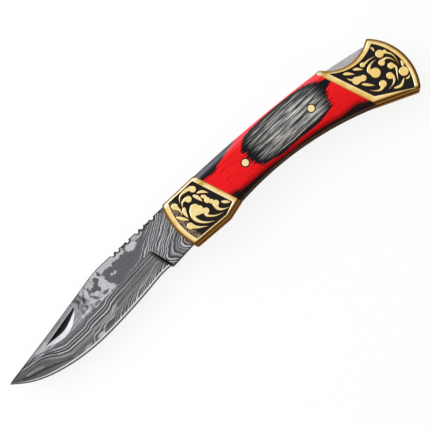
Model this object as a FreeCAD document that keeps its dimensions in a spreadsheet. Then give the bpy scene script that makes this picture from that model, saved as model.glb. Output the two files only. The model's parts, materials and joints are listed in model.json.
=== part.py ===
import FreeCAD, Part
import math
import os
from types import SimpleNamespace

import Sketcher

# Driving dimensions in millimetres. The pivot axis is the reference for reaches and heights:
# a reach runs towards the butt (or towards the tip for the blade), a height towards the
# back of the handle and a drop towards its belly.
LENGTHS = {
    # Stack across the handle, from the blade slot outwards.
    "slot_width": 3.5,
    "liner_thick": 1.2,
    "cover_thick": 4.4,
    # Outline of the handle.
    "back_height": 11.85,
    "front_top_reach": 5.5,
    "front_bottom_reach": 6.5,
    "front_bottom_drop": 9.3,
    "front_radius": 28.0,
    "front_bolster_length": 17.3,
    "front_joint_drop": 8.05,
    "chin_setback": 7.9,
    "chin_drop": 10.1,
    "scale_length": 63.7,
    "back_fall": 3.2,
    "back_radius": 640.0,
    "rear_joint_drop": 17.1,
    "belly_radius": 143.0,
    "scoop_land": 2.2,
    "scoop_length": 22.3,
    "scoop_fall": 3.55,
    "scoop_radius": 15.6,
    "heel_setback": 2.3,
    "heel_drop": 24.7,
    "butt_radius": 22.2,
    "handle_corner_round": 1.0,
    "chin_round": 2.5,
    # Bolsters and scales.
    "bolster_edge_round": 0.85,
    "scale_edge_round": 2.4,
    "panel_depth": 0.55,
    "panel_border": 1.4,
    "panel_front_border": 2.6,
    "panel_joint_border": 2.2,
    "panel_scoop_border": 1.8,
    # Blade.
    "blade_thick": 2.9,
    "blade_reach": 100.4,
    "tip_height": 1.65,
    "clip_reach": 44.3,
    "clip_hollow_radius": 1200.0,
    "clip_round": 40.0,
    "plunge_reach": 21.1,
    "plunge_ramp": 1.2,
    "ricasso_drop": 8.95,
    "tang_radius": 7.36,
    "belly_drop": 11.1,
    "grind_height": 2.3,
    "edge_bevel": 0.7,
    "edge_half_thick": 0.28,
    # Nail nick.
    "nick_length": 20.4,
    "nick_width": 4.6,
    "nick_depth": 0.95,
    "nick_reach": 68.5,
    "nick_height": 4.9,
    # File work along the spine.
    "file_radius": 0.85,
    "file_wide_radius": 1.15,
    "file_first_reach": 12.3,
    "file_pitch": 2.75,
    "file_row_pitch": 13.5,
    # Lock bar and its tooth.
    "bar_side_clearance": 0.1,
    "bar_pin_reach": 53.5,
    "bar_pin_height": 7.9,
    "bar_top_clearance": 0.1,
    "bar_depth": 5.1,
    "bar_neck_depth": 3.05,
    "bar_tail_setback": 2.7,
    "bar_tail_height": 3.85,
    "bar_tail_radius": 400.0,
    "bar_tail_depth": 4.1,
    "tooth_clearance": 0.15,
    "tooth_engagement": 1.6,
    "notch_clearance": 0.2,
    # Spring at the butt.
    "spring_foot_setback": 11.3,
    "spring_foot_length": 7.4,
    "spring_foot_drop": 1.7,
    "spring_foot_depth": 6.0,
    "leaf_thick": 1.2,
    "leaf_length": 19.1,
    "leaf_bar_gap": 0.05,
    # Pins, washers and rivets.
    "pivot_pin_diameter": 4.8,
    "pivot_running_clearance": 0.04,
    "pin_seat_clearance": 0.02,
    "pivot_pin_bite": 3.0,
    "washer_diameter": 11.5,
    "washer_thick": 0.25,
    "bar_pin_diameter": 2.6,
    "spring_pin_diameter": 2.2,
    "spring_pin_bite": 2.6,
    "scale_pin_diameter": 3.15,
    "scale_pin_front_setback": 18.9,
    "scale_pin_front_height": 1.3,
    "scale_pin_rear_setback": 10.7,
    "scale_pin_rear_drop": 0.8,
    "rivet_diameter": 2.4,
    "rivet_bite": 2.6,
    # Room left past a surface wherever a cut runs out of it.
    "cut_overrun": 1.5,
}

# Driving angles in degrees.
ANGLES = {
    "joint_lean_angle": 19.8,
    "plunge_lean_angle": 10.5,
    "nick_lean_angle": 11.3,
    "tooth_front_angle": 78.0,
    "tooth_back_angle": 55.0,
}

# Shape of the ground part of the blade, from the plunge to just past the tip: places along its
# length, edge drops as shares of the belly drop and grind line heights as shares of its height.
GROUND_SHARES = (0.0, 0.10, 0.24, 0.38, 0.50, 0.62, 0.74, 0.84, 0.92, 1.0, 1.06)
EDGE_SHARES = (0.738, 0.771, 0.887, 0.967, 0.995, 0.943, 0.792, 0.573, 0.285, -0.149, -0.50)
GRIND_SHARES = (1.0, 0.83, 0.48, 0.16, 0.09, 0.16, 0.36, 0.62, 0.95, 1.6, 2.3)

# Place of the rivet in a front bolster, as shares of its length and of the back height.
FRONT_RIVET_SHARES = (0.80, -0.42)

# Places of the spring pins, as shares of the length and depth of the spring's foot.
SPRING_PIN_SHARES = ((0.28, 0.32), (0.70, 0.66))

# Corners of the rear panel, as shares of the border beside each corner.
PANEL_SCOOP_SHARES = (1.1, -2.3)
PANEL_TAIL_SHARES = (0.0, -1.8)
PANEL_HEEL_SHARES = (-1.3, 1.2)
PANEL_JOINT_SHARES = (0.85, 1.15)

# Front and back walls of the tang's lower notch, as shares of the tooth's height and reach.
RELIEF_FRONT_SHARE = 0.68
RELIEF_BACK_SHARE = 0.2

# Rows of file notches on the spine, and the kinds of notch along one row.
FILE_ROW_COUNT = 2
FILE_ROW = ("plain", "wide", "plain", "plain")

# A quarter round followed by three flats: what each of two chamfers takes off, as shares of
# the radius.
FIRST_FLAT_SHARE = 0.586
NEXT_FLAT_SHARE = 0.215

# Two places closer than this count as one.
SAME_PLACE = 1e-4

doc = FreeCAD.newDocument("folding_knife")
sheet = doc.addObject("Spreadsheet::Sheet", "Sizes")


class Size:
    """A length with its present value and the sheet expression that drives it."""

    def __init__(self, value, text):
        self.value = value
        self.text = text

    @staticmethod
    def of(other):
        return other if isinstance(other, Size) else Size(float(other), f"({float(other)})")

    def __add__(self, other):
        other = Size.of(other)
        return Size(self.value + other.value, f"({self.text} + {other.text})")

    def __sub__(self, other):
        other = Size.of(other)
        return Size(self.value - other.value, f"({self.text} - {other.text})")

    def __mul__(self, other):
        other = Size.of(other)
        return Size(self.value * other.value, f"({self.text} * {other.text})")

    def __truediv__(self, other):
        other = Size.of(other)
        return Size(self.value / other.value, f"({self.text} / {other.text})")

    def __neg__(self):
        return Size(-self.value, f"(-{self.text})")


def root(size):
    return Size(math.sqrt(size.value), f"sqrt({size.text})")


def sine(angle):
    return Size(math.sin(math.radians(angle.value)), f"sin({angle.text})")


def cosine(angle):
    return Size(math.cos(math.radians(angle.value)), f"cos({angle.text})")


def fill_sheet():
    """Writes every driving dimension to its own named cell and returns them by name."""
    named = {}
    for row, (name, value) in enumerate({**LENGTHS, **ANGLES}.items(), start=1):
        cell = f"A{row}"
        sheet.set(cell, str(value))
        sheet.setAlias(cell, name)
        named[name] = Size(value, f"{sheet.Name}.{name}")
    doc.recompute()
    return SimpleNamespace(**named)


d = fill_sheet()
ZERO = Size(0.0, "0")


def corner(x, y, radius=None, inward=False):
    """A corner of an anticlockwise outline and the side that leaves it: straight with no
    radius, or an arc that bows outwards, or inwards."""
    return SimpleNamespace(x=x, y=y, radius=radius, inward=inward)


def arc_centre(first, second, radius, inward):
    """Centre of the shorter arc between two corners."""
    dx = second.x - first.x
    dy = second.y - first.y
    chord = root(dx * dx + dy * dy)
    away = root(radius * radius - chord * chord / 4)
    if inward:
        away = -away
    x = (first.x + second.x) / 2 - dy / chord * away
    y = (first.y + second.y) / 2 + dx / chord * away
    return x, y


def vector(x, y):
    return FreeCAD.Vector(x.value, y.value, 0.0)


def side_curve(first, second):
    """The line or arc of one side. An arc runs anticlockwise, so an inward one is drawn
    from its far end."""
    if first.radius is None:
        return Part.LineSegment(vector(first.x, first.y), vector(second.x, second.y))
    x, y = arc_centre(first, second, first.radius, first.inward)
    ends = [first, second]
    if first.inward:
        ends.reverse()
    turns = [math.atan2(end.y.value - y.value, end.x.value - x.value) for end in ends]
    if turns[1] < turns[0]:
        turns[1] += math.tau
    circle = Part.Circle(vector(x, y), FreeCAD.Vector(0, 0, 1), first.radius.value)
    return Part.ArcOfCircle(circle, turns[0], turns[1])


def new_sketch(body, name, role="XY_Plane", lift=None, turn=None):
    """A sketch on one of its body's own planes, lifted along the normal and turned about
    the sketch's own upright axis."""
    sketch = body.newObject("Sketcher::SketchObject", name)
    plane = next(item for item in body.Origin.OriginFeatures if item.Role == role)
    sketch.AttachmentSupport = [(plane, "")]
    sketch.MapMode = "FlatFace"
    if turn is not None:
        upright = FreeCAD.Rotation(FreeCAD.Vector(0, 1, 0), turn.value)
        sketch.AttachmentOffset = FreeCAD.Placement(FreeCAD.Vector(), upright)
        sketch.setExpression("AttachmentOffset.Rotation.Angle", turn.text)
    if lift is not None:
        sketch.setExpression("AttachmentOffset.Base.z", lift.text)
    return sketch


def draw_outline(sketch, corners):
    """Adds a closed outline whose corners and radii follow the sheet."""
    start = sketch.GeometryCount
    pairs = list(zip(corners, corners[1:] + corners[:1]))
    sketch.addGeometry([side_curve(*pair) for pair in pairs], False)
    count = len(corners)
    rules = []
    drives = []
    for place, (first, second) in enumerate(pairs):
        here = start + place
        following = start + (place + 1) % count
        near, far = (2, 1) if first.inward else (1, 2)
        next_near = 2 if second.inward else 1
        rules.append(Sketcher.Constraint("Coincident", here, far, following, next_near))
        drives.append(None)
        rules.append(Sketcher.Constraint("DistanceX", here, near, first.x.value))
        drives.append(first.x)
        rules.append(Sketcher.Constraint("DistanceY", here, near, first.y.value))
        drives.append(first.y)
        if first.radius is not None:
            rules.append(Sketcher.Constraint("Radius", here, first.radius.value))
            drives.append(first.radius)
    bind_rules(sketch, rules, drives)


def draw_circle(sketch, x, y, radius):
    """Adds a circle whose centre and radius follow the sheet."""
    here = sketch.GeometryCount
    sketch.addGeometry(Part.Circle(vector(x, y), FreeCAD.Vector(0, 0, 1), radius.value), False)
    rules = [
        Sketcher.Constraint("DistanceX", here, 3, x.value),
        Sketcher.Constraint("DistanceY", here, 3, y.value),
        Sketcher.Constraint("Radius", here, radius.value),
    ]
    bind_rules(sketch, rules, [x, y, radius])


def bind_rules(sketch, rules, drives):
    start = sketch.ConstraintCount
    sketch.addConstraint(rules)
    for place, drive in enumerate(drives):
        if drive is not None:
            sketch.setExpression(f"Constraints[{start + place}]", drive.text)


def new_body(label, z):
    """A piece whose sketches are drawn about the pivot axis, moved so that the origin is
    at the middle of the open knife's footprint."""
    body = doc.addObject("PartDesign::Body", label)
    body.Label = label
    place_piece(body, ZERO, ZERO, z)
    return body


def place_piece(piece, x, y, z):
    piece.setExpression("Placement.Base.x", (x - centre_x).text)
    piece.setExpression("Placement.Base.y", (y - centre_y).text)
    piece.setExpression("Placement.Base.z", z.text)


def checked_cut(body, before, feature):
    doc.recompute()
    if not body.Shape.Volume < before:
        raise RuntimeError(f"{feature.Name} cuts nothing from {body.Label}")
    return feature


def pad(body, sketch, length, reverse=False):
    feature = body.newObject("PartDesign::Pad", sketch.Name + "_pad")
    feature.Profile = sketch
    feature.setExpression("Length", length.text)
    feature.Reversed = reverse
    doc.recompute()
    return feature


def pocket(body, sketch, length, reverse=False):
    before = body.Shape.Volume
    feature = body.newObject("PartDesign::Pocket", sketch.Name + "_pocket")
    feature.Profile = sketch
    feature.setExpression("Length", length.text)
    feature.Reversed = reverse
    return checked_cut(body, before, feature)


def finish_edges(body, kind, name, size, wanted):
    """Rounds or bevels the edges of the body's last shape whose middle and ends pass a test."""
    tip = body.Tip
    names = []
    for number, edge in enumerate(tip.Shape.Edges, start=1):
        middle = edge.valueAt((edge.FirstParameter + edge.LastParameter) / 2)
        if wanted(middle, [vertex.Point for vertex in edge.Vertexes]):
            names.append(f"Edge{number}")
    before = body.Shape.Volume
    feature = body.newObject(f"PartDesign::{kind}", name)
    feature.Base = (tip, names)
    feature.setExpression("Radius" if kind == "Fillet" else "Size", size.text)
    return checked_cut(body, before, feature)


def round_edges(body, name, radius, wanted):
    return finish_edges(body, "Fillet", name, radius, wanted)


def over(first, second):
    """Whether one point stands straight above or below another."""
    return math.hypot(first.x - second.x, first.y - second.y) < SAME_PLACE


def upright_at(*corners):
    """A test for the upright edges that stand on some corners of an outline."""
    spots = [vector(place.x, place.y) for place in corners]

    def wanted(middle, ends):
        if len(ends) != 2 or not over(ends[0], ends[1]):
            return False
        return any(over(middle, spot) for spot in spots)

    return wanted


# Outline of the handle, anticlockwise from the front of its belly.
joint_slope = sine(d.joint_lean_angle) / cosine(d.joint_lean_angle)
front_joint_x = d.front_bolster_length - d.front_top_reach
rear_joint_x = front_joint_x + d.scale_length
rear_joint_y = d.back_height - d.back_fall
front_bottom = corner(-d.front_bottom_reach, -d.front_bottom_drop)
front_top = corner(-d.front_top_reach, d.back_height, d.front_radius)
front_joint_top = corner(front_joint_x, d.back_height)
front_joint_bottom = corner(
    front_joint_x + (d.back_height + d.front_joint_drop) * joint_slope,
    -d.front_joint_drop,
    d.belly_radius,
    inward=True,
)
chin = corner(front_joint_bottom.x - d.chin_setback, -d.chin_drop)
rear_joint_top = corner(rear_joint_x, rear_joint_y, d.back_radius)
rear_joint_bottom = corner(
    rear_joint_x + (rear_joint_y + d.rear_joint_drop) * joint_slope, -d.rear_joint_drop
)
back_end_slope = d.back_fall / d.scale_length * 2
scoop_front = corner(rear_joint_x + d.scoop_land, rear_joint_y - d.scoop_land * back_end_slope)
scoop_rear = corner(
    scoop_front.x + d.scoop_length,
    scoop_front.y - d.scoop_fall,
    d.scoop_radius,
    inward=True,
)
heel = corner(scoop_rear.x + d.heel_setback, -d.heel_drop, d.butt_radius)

HANDLE = [
    front_bottom,
    chin,
    front_joint_bottom,
    rear_joint_bottom,
    heel,
    scoop_rear,
    scoop_front,
    rear_joint_top,
    front_joint_top,
    front_top,
]


def straight(place):
    return corner(place.x, place.y)


FRONT_BOLSTER = [front_bottom, chin, straight(front_joint_bottom), front_joint_top, front_top]
SCALE = [front_joint_bottom, rear_joint_bottom, rear_joint_top, straight(front_joint_top)]
REAR_BOLSTER = [rear_joint_bottom, heel, scoop_rear, scoop_front, straight(rear_joint_top)]

# Middle of the open knife's footprint, and the heights of the layers above the rest face.
butt_x = arc_centre(heel, scoop_rear, d.butt_radius, False)[0] + d.butt_radius
centre_x = (butt_x - d.blade_reach) / 2
centre_y = (d.back_height - d.heel_drop) / 2
middle_z = d.cover_thick + d.liner_thick + d.slot_width / 2
bar_tail_x = scoop_rear.x - d.bar_tail_setback
spring_foot_x = butt_x - d.spring_foot_setback
leaf_tip_x = spring_foot_x - d.leaf_length
SIDES = {"upper": 1, "lower": -1}


def liner_face(side):
    """Height of the face of the liner towards the slot."""
    return middle_z + d.slot_width / 2 * side


def cover_face(side):
    """Height of the face of the liner that the bolsters and scales lie on."""
    return middle_z + (d.slot_width / 2 + d.liner_thick) * side


# Places of the pins and of the rivets in the front bolsters.
pivot = (ZERO, ZERO)
bar_pin = (d.bar_pin_reach, d.bar_pin_height)
scale_pins = {
    "front": (front_joint_x + d.scale_pin_front_setback, d.scale_pin_front_height),
    "rear": (rear_joint_x - d.scale_pin_rear_setback, -d.scale_pin_rear_drop),
}
spring_pins = [
    (
        spring_foot_x + d.spring_foot_length * along,
        -(d.spring_foot_drop + d.spring_foot_depth * down),
    )
    for along, down in SPRING_PIN_SHARES
]
front_rivet = (
    d.front_bolster_length * FRONT_RIVET_SHARES[0] - d.front_top_reach,
    d.back_height * FRONT_RIVET_SHARES[1],
)


def hole_radius(diameter):
    return diameter / 2 + d.pin_seat_clearance


def draw_holes(sketch, places, diameter):
    for x, y in places:
        draw_circle(sketch, x, y, hole_radius(diameter))


def make_liner(name, side):
    """A brass plate of the whole handle outline, drilled for every pin and rivet."""
    body = new_body(f"{name}_liner", liner_face(side))
    sketch = new_sketch(body, f"{name}_liner_outline")
    draw_outline(sketch, HANDLE)
    draw_holes(sketch, [pivot], d.pivot_pin_diameter)
    draw_holes(sketch, [bar_pin], d.bar_pin_diameter)
    draw_holes(sketch, spring_pins, d.spring_pin_diameter)
    draw_holes(sketch, scale_pins.values(), d.scale_pin_diameter)
    draw_holes(sketch, [front_rivet], d.rivet_diameter)
    pad(body, sketch, d.liner_thick, reverse=side < 0)
    round_edges(
        body,
        f"{name}_liner_corners",
        d.handle_corner_round,
        upright_at(front_bottom, front_top, scoop_front, scoop_rear, heel),
    )
    round_edges(body, f"{name}_liner_chin", d.chin_round, upright_at(chin))
    return body


def outer_rim(side, joints, drops):
    """A test for the edges of a cover at some drops below its outer face, leaving out those
    along the joints with the next cover."""
    levels = [((d.cover_thick - drop) * side).value for drop in drops]
    lines = [(vector(a.x, a.y), vector(b.x, b.y)) for a, b in joints]

    def along_joint(point):
        for first, second in lines:
            run = second - first
            reach = point - first
            if abs(run.x * reach.y - run.y * reach.x) / run.Length < SAME_PLACE:
                return True
        return False

    def wanted(middle, ends):
        if len(ends) < 2 or along_joint(middle):
            return False
        points = [middle, *ends]
        return any(all(abs(point.z - level) < SAME_PLACE for point in points) for level in levels)

    return wanted


def ease_rim(body, name, side, joints, radius):
    """Eases the outer rim of a cover with three flats that follow a quarter round."""
    first = radius * FIRST_FLAT_SHARE
    finish_edges(body, "Chamfer", f"{name}_bevel", first, outer_rim(side, joints, [ZERO]))
    both = outer_rim(side, joints, [ZERO, first])
    return finish_edges(body, "Chamfer", f"{name}_easing", radius * NEXT_FLAT_SHARE, both)


def make_bolster(label, side, outline, corners, joint, panel, holes):
    """A brass end cover: rounded rim, sunk panel inside a plain border, and blind holes for
    the pins and rivets on the side towards its liner."""
    body = new_body(label, cover_face(side))
    sketch = new_sketch(body, f"{label}_outline")
    draw_outline(sketch, outline)
    pad(body, sketch, d.cover_thick, reverse=side < 0)
    round_edges(body, f"{label}_corners", d.handle_corner_round, upright_at(*corners))
    if chin in outline:
        round_edges(body, f"{label}_chin", d.chin_round, upright_at(chin))
    ease_rim(body, f"{label}_rim", side, [joint], d.bolster_edge_round)
    sunk = new_sketch(body, f"{label}_panel", lift=d.cover_thick * side)
    draw_outline(sunk, panel)
    pocket(body, sunk, d.panel_depth, reverse=side < 0)
    for number, (places, diameter, depth) in enumerate(holes, start=1):
        drilled = new_sketch(body, f"{label}_holes_{number}")
        draw_holes(drilled, places, diameter)
        pocket(body, drilled, depth + d.pin_seat_clearance, reverse=side > 0)
    return body


def front_panel():
    """The sunk panel of a front bolster, inside its borders."""
    lean = joint_slope * d.panel_border
    top = d.back_height - d.panel_border
    bottom_y = -d.front_joint_drop + d.panel_border
    across = d.panel_joint_border / cosine(d.joint_lean_angle)
    return [
        corner(-d.front_bottom_reach + d.panel_front_border, -d.front_bottom_drop + d.panel_border),
        corner(chin.x, -d.chin_drop + d.panel_border),
        corner(front_joint_bottom.x - lean - across, bottom_y),
        corner(front_joint_x + lean - across, top),
        corner(
            -d.front_top_reach + d.panel_front_border, top, d.front_radius - d.panel_front_border
        ),
    ]


def rear_panel():
    """The sunk panel of a rear bolster, which follows the joint, the scoop and the butt."""

    def beside(place, size, shares, radius=None, inward=False):
        return corner(place.x + size * shares[0], place.y + size * shares[1], radius, inward)

    scoop = d.scoop_radius + d.panel_scoop_border
    butt = d.butt_radius - d.panel_border
    return [
        beside(rear_joint_bottom, d.panel_joint_border, PANEL_JOINT_SHARES),
        beside(heel, d.panel_border, PANEL_HEEL_SHARES, butt),
        beside(scoop_rear, d.panel_scoop_border, PANEL_TAIL_SHARES, scoop, inward=True),
        beside(scoop_front, d.panel_scoop_border, PANEL_SCOOP_SHARES),
    ]


def make_front_bolster(name, side):
    holes = [
        ([pivot], d.pivot_pin_diameter, d.pivot_pin_bite),
        ([front_rivet], d.rivet_diameter, d.rivet_bite),
    ]
    return make_bolster(
        f"{name}_front_bolster",
        side,
        FRONT_BOLSTER,
        [front_bottom, front_top],
        (front_joint_top, front_joint_bottom),
        front_panel(),
        holes,
    )


def make_rear_bolster(name, side):
    holes = [(spring_pins, d.spring_pin_diameter, d.spring_pin_bite)]
    return make_bolster(
        f"{name}_rear_bolster",
        side,
        REAR_BOLSTER,
        [scoop_front, scoop_rear, heel],
        (rear_joint_top, rear_joint_bottom),
        rear_panel(),
        holes,
    )


def make_scale(name, side):
    """A wooden grip between the bolsters, well rounded along the back and the belly."""
    label = f"{name}_scale"
    body = new_body(label, cover_face(side))
    sketch = new_sketch(body, f"{label}_outline")
    draw_outline(sketch, SCALE)
    draw_holes(sketch, scale_pins.values(), d.scale_pin_diameter)
    pad(body, sketch, d.cover_thick, reverse=side < 0)
    joints = [(front_joint_top, front_joint_bottom), (rear_joint_top, rear_joint_bottom)]
    ease_rim(body, f"{label}_rim", side, joints, d.scale_edge_round)
    return body


def make_rod(label, place, low, length, diameter):
    """A plain round pin that stands across the handle."""
    rod = doc.addObject("Part::Cylinder", label)
    rod.Label = label
    rod.setExpression("Radius", (diameter / 2).text)
    rod.setExpression("Height", length.text)
    place_piece(rod, place[0], place[1], low)
    return rod


def lowest(side, face, length):
    """Bottom of a pin that stands out from a face, upwards or downwards."""
    return face if side > 0 else face - length


def make_scale_pin(name, side, end):
    length = d.liner_thick + d.cover_thick
    low = lowest(side, liner_face(side), length)
    return make_rod(f"{name}_{end}_scale_pin", scale_pins[end], low, length, d.scale_pin_diameter)


def make_front_rivet(name, side):
    length = d.liner_thick + d.rivet_bite
    low = lowest(side, liner_face(side), length)
    return make_rod(f"{name}_front_bolster_rivet", front_rivet, low, length, d.rivet_diameter)


def make_through_pin(label, place, bite, diameter):
    """A pin through both liners that reaches the same depth into the covers on each side."""
    length = d.slot_width + (d.liner_thick + bite) * 2
    return make_rod(label, place, middle_z - length / 2, length, diameter)


def make_spring_pins():
    """The pins through the foot of the spring, which also hold the rear bolsters."""
    group = doc.addObject("Part::Compound", "spring_pins")
    group.Label = "spring_pins"
    group.Links = [
        make_through_pin(f"spring_pin_{number}", place, d.spring_pin_bite, d.spring_pin_diameter)
        for number, place in enumerate(spring_pins, start=1)
    ]
    return group


def make_washer(name, side):
    """A thin washer on the pivot pin, flat against its liner."""
    body = new_body(f"{name}_pivot_washer", liner_face(side))
    sketch = new_sketch(body, f"{name}_washer_ring")
    draw_circle(sketch, ZERO, ZERO, d.washer_diameter / 2)
    draw_holes(sketch, [pivot], d.pivot_pin_diameter)
    pad(body, sketch, d.washer_thick, reverse=side > 0)
    return body


# The tooth of the lock bar clears the round of the tang by a little when it is lifted.
tooth_radius = d.tang_radius + d.tooth_clearance
tooth_front_x = tooth_radius * cosine(d.tooth_front_angle)
tooth_front_y = tooth_radius * sine(d.tooth_front_angle)
tooth_back_x = tooth_radius * cosine(d.tooth_back_angle)
tooth_back_y = tooth_radius * sine(d.tooth_back_angle)


def ground_stations():
    """Places along the ground part of the blade: reach, edge height and grind line height."""
    length = d.blade_reach - d.plunge_reach
    stations = []
    for along, edge, grind in zip(GROUND_SHARES, EDGE_SHARES, GRIND_SHARES):
        x = -(d.plunge_reach + length * along)
        stations.append((x, -(d.belly_drop * edge), d.grind_height * grind))
    return stations


def on_tang_round(x, above=True):
    """The corner of the tang's round at a place beside the pivot."""
    height = root(d.tang_radius * d.tang_radius - x * x)
    return height if above else -height


def blade_blank():
    """Outline of the blade before it is ground, anticlockwise from the bottom of the tang.

    The tang is round behind the pivot. Its upper notch takes the tooth of the lock bar when
    the blade is open, and its lower one when the blade is folded away."""
    notch_front_x = tooth_front_x - d.notch_clearance
    notch_back_x = tooth_back_x + d.notch_clearance
    notch_sink = d.tooth_engagement + d.notch_clearance
    relief_x = -(tooth_radius * sine(d.tooth_back_angle) * RELIEF_FRONT_SHARE)
    relief_y = -(tooth_back_y - notch_sink - d.notch_clearance)
    relief_back_x = tooth_back_x * RELIEF_BACK_SHARE
    outline = [
        corner(relief_x, relief_y),
        corner(relief_back_x, relief_y),
        corner(relief_back_x, on_tang_round(relief_back_x, above=False), d.tang_radius),
        corner(d.tang_radius, ZERO, d.tang_radius),
        corner(notch_back_x, on_tang_round(notch_back_x)),
        corner(notch_back_x, tooth_back_y - notch_sink),
        corner(notch_front_x, tooth_front_y - notch_sink),
        corner(notch_front_x, d.back_height),
        corner(-d.clip_reach, d.back_height, d.clip_hollow_radius, inward=True),
    ]
    stations = ground_stations()
    allowance = d.cut_overrun / 2
    past_tip = stations[-1][0]
    clip_slope = (d.back_height - d.tip_height) / (d.blade_reach - d.clip_reach)
    outline.append(corner(past_tip, d.tip_height + (past_tip + d.blade_reach) * clip_slope))
    for x, edge_y, _ in reversed(stations[1:-2]):
        outline.append(corner(x, edge_y - allowance))
    outline.append(corner(-d.plunge_reach, -d.ricasso_drop))
    ricasso_rise = (d.ricasso_drop - d.tang_radius) / d.plunge_reach
    outline.append(corner(relief_x, -(d.tang_radius - relief_x * ricasso_rise)))
    return outline


def grind_section(body, name, station, turn=None, spent=False):
    """Cross-section of what is ground away on the upper side: the wide bevel from the grind
    line to its shoulder and the narrow bevel down to the edge. A spent section only touches
    the flat of the blade."""
    x, edge_y, grind_y = station
    half = d.blade_thick / 2
    shoulder_y = edge_y + d.edge_bevel
    steep = (grind_y - shoulder_y) / (half - d.edge_half_thick)
    over = d.cut_overrun
    below = edge_y + d.belly_drop + over
    shoulder_z = half if spent else d.edge_half_thick
    bottom_z = half if spent else -(below * d.edge_half_thick / d.edge_bevel)
    sketch = new_sketch(body, name, "YZ_Plane", lift=x, turn=turn)
    draw_outline(
        sketch,
        [
            corner(grind_y + steep * over, half + over),
            corner(edge_y - below, half + over),
            corner(edge_y - below, bottom_z),
            corner(shoulder_y, shoulder_z),
        ],
    )
    return sketch


def grind_away(body, name, sections, ruled):
    before = body.Shape.Volume
    grind = body.newObject("PartDesign::SubtractiveLoft", name)
    grind.Profile = sections[0]
    grind.Sections = sections[1:]
    grind.Ruled = ruled
    return checked_cut(body, before, grind)


def grind_blade(body):
    """Grinds the upper bevels along the blade and the short ramp where they run out at the
    plunge, then the same ones on the lower side."""
    stations = ground_stations()
    turn = d.plunge_lean_angle
    sections = [grind_section(body, "plunge_section", stations[0], turn)]
    for number, station in enumerate(stations[1:], start=1):
        sections.append(grind_section(body, f"grind_section_{number}", station))
    bevels = grind_away(body, "upper_bevels", sections, ruled=False)
    plunge_x, edge_y, grind_y = stations[0]
    ramp_start = grind_section(body, "ramp_start", stations[0], turn)
    ramp_station = (plunge_x + d.plunge_ramp, edge_y, grind_y)
    ramp_end = grind_section(body, "ramp_end", ramp_station, turn, spent=True)
    ramp = grind_away(body, "upper_plunge_ramp", [ramp_start, ramp_end], ruled=True)
    before = body.Shape.Volume
    mirrored = body.newObject("PartDesign::Mirrored", "lower_grinds")
    mirrored.Originals = [bevels, ramp]
    plane = next(item for item in body.Origin.OriginFeatures if item.Role == "XY_Plane")
    mirrored.MirrorPlane = (plane, [""])
    body.Tip = mirrored
    checked_cut(body, before, mirrored)


def cut_file_work(body):
    """Rows of round file notches across the spine, one in each row wider and cut from the
    upper edge only."""
    through = new_sketch(body, "file_notches", lift=d.blade_thick / 2)
    wide = new_sketch(body, "file_wide_notches", lift=d.blade_thick / 2)
    for row in range(FILE_ROW_COUNT):
        for place, kind in enumerate(FILE_ROW):
            x = -(d.file_first_reach + d.file_row_pitch * row + d.file_pitch * place)
            if kind == "wide":
                draw_circle(wide, x, d.back_height, d.file_wide_radius)
            else:
                draw_circle(through, x, d.back_height, d.file_radius)
    pocket(body, through, d.blade_thick)
    pocket(body, wide, d.blade_thick / 2)


def cut_nail_nick(body):
    """The nail nick, as left by a wheel with one upright face and one sloping face."""
    wheel = (d.nick_length * d.nick_length / 4 + d.nick_depth * d.nick_depth) / (d.nick_depth * 2)
    half = d.blade_thick / 2
    over = d.cut_overrun
    wall_y = d.nick_height
    slope = d.nick_depth / d.nick_width
    sketch = new_sketch(body, "nick_wheel", "YZ_Plane", lift=-d.nick_reach, turn=d.nick_lean_angle)
    draw_outline(
        sketch,
        [
            corner(wall_y, half - d.nick_depth),
            corner(wall_y, half + over),
            corner(wall_y - d.nick_width - over / slope, half + over),
        ],
    )
    here = sketch.GeometryCount
    axis_z = half - d.nick_depth + wheel
    ends = (vector(wall_y, axis_z), vector(wall_y - d.nick_width, axis_z))
    sketch.addGeometry(Part.LineSegment(*ends), True)
    bind_rules(
        sketch,
        [
            Sketcher.Constraint("DistanceX", here, 1, wall_y.value),
            Sketcher.Constraint("DistanceY", here, 1, axis_z.value),
            Sketcher.Constraint("DistanceX", here, 2, (wall_y - d.nick_width).value),
            Sketcher.Constraint("Horizontal", here),
        ],
        [wall_y, axis_z, wall_y - d.nick_width, None],
    )
    before = body.Shape.Volume
    groove = body.newObject("PartDesign::Groove", "nail_nick")
    groove.Profile = sketch
    groove.ReferenceAxis = (sketch, ["Axis0"])
    checked_cut(body, before, groove)


def make_blade():
    body = new_body("blade", middle_z)
    blank = new_sketch(body, "blade_outline", lift=-(d.blade_thick / 2))
    draw_outline(blank, blade_blank())
    running = d.pivot_pin_diameter / 2 + d.pivot_running_clearance
    draw_circle(blank, ZERO, ZERO, running)
    pad(body, blank, d.blade_thick)
    clip = corner(-d.clip_reach, d.back_height)
    round_edges(body, "clip_rounding", d.clip_round, upright_at(clip))
    grind_blade(body)
    cut_file_work(body)
    cut_nail_nick(body)
    return body


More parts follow.
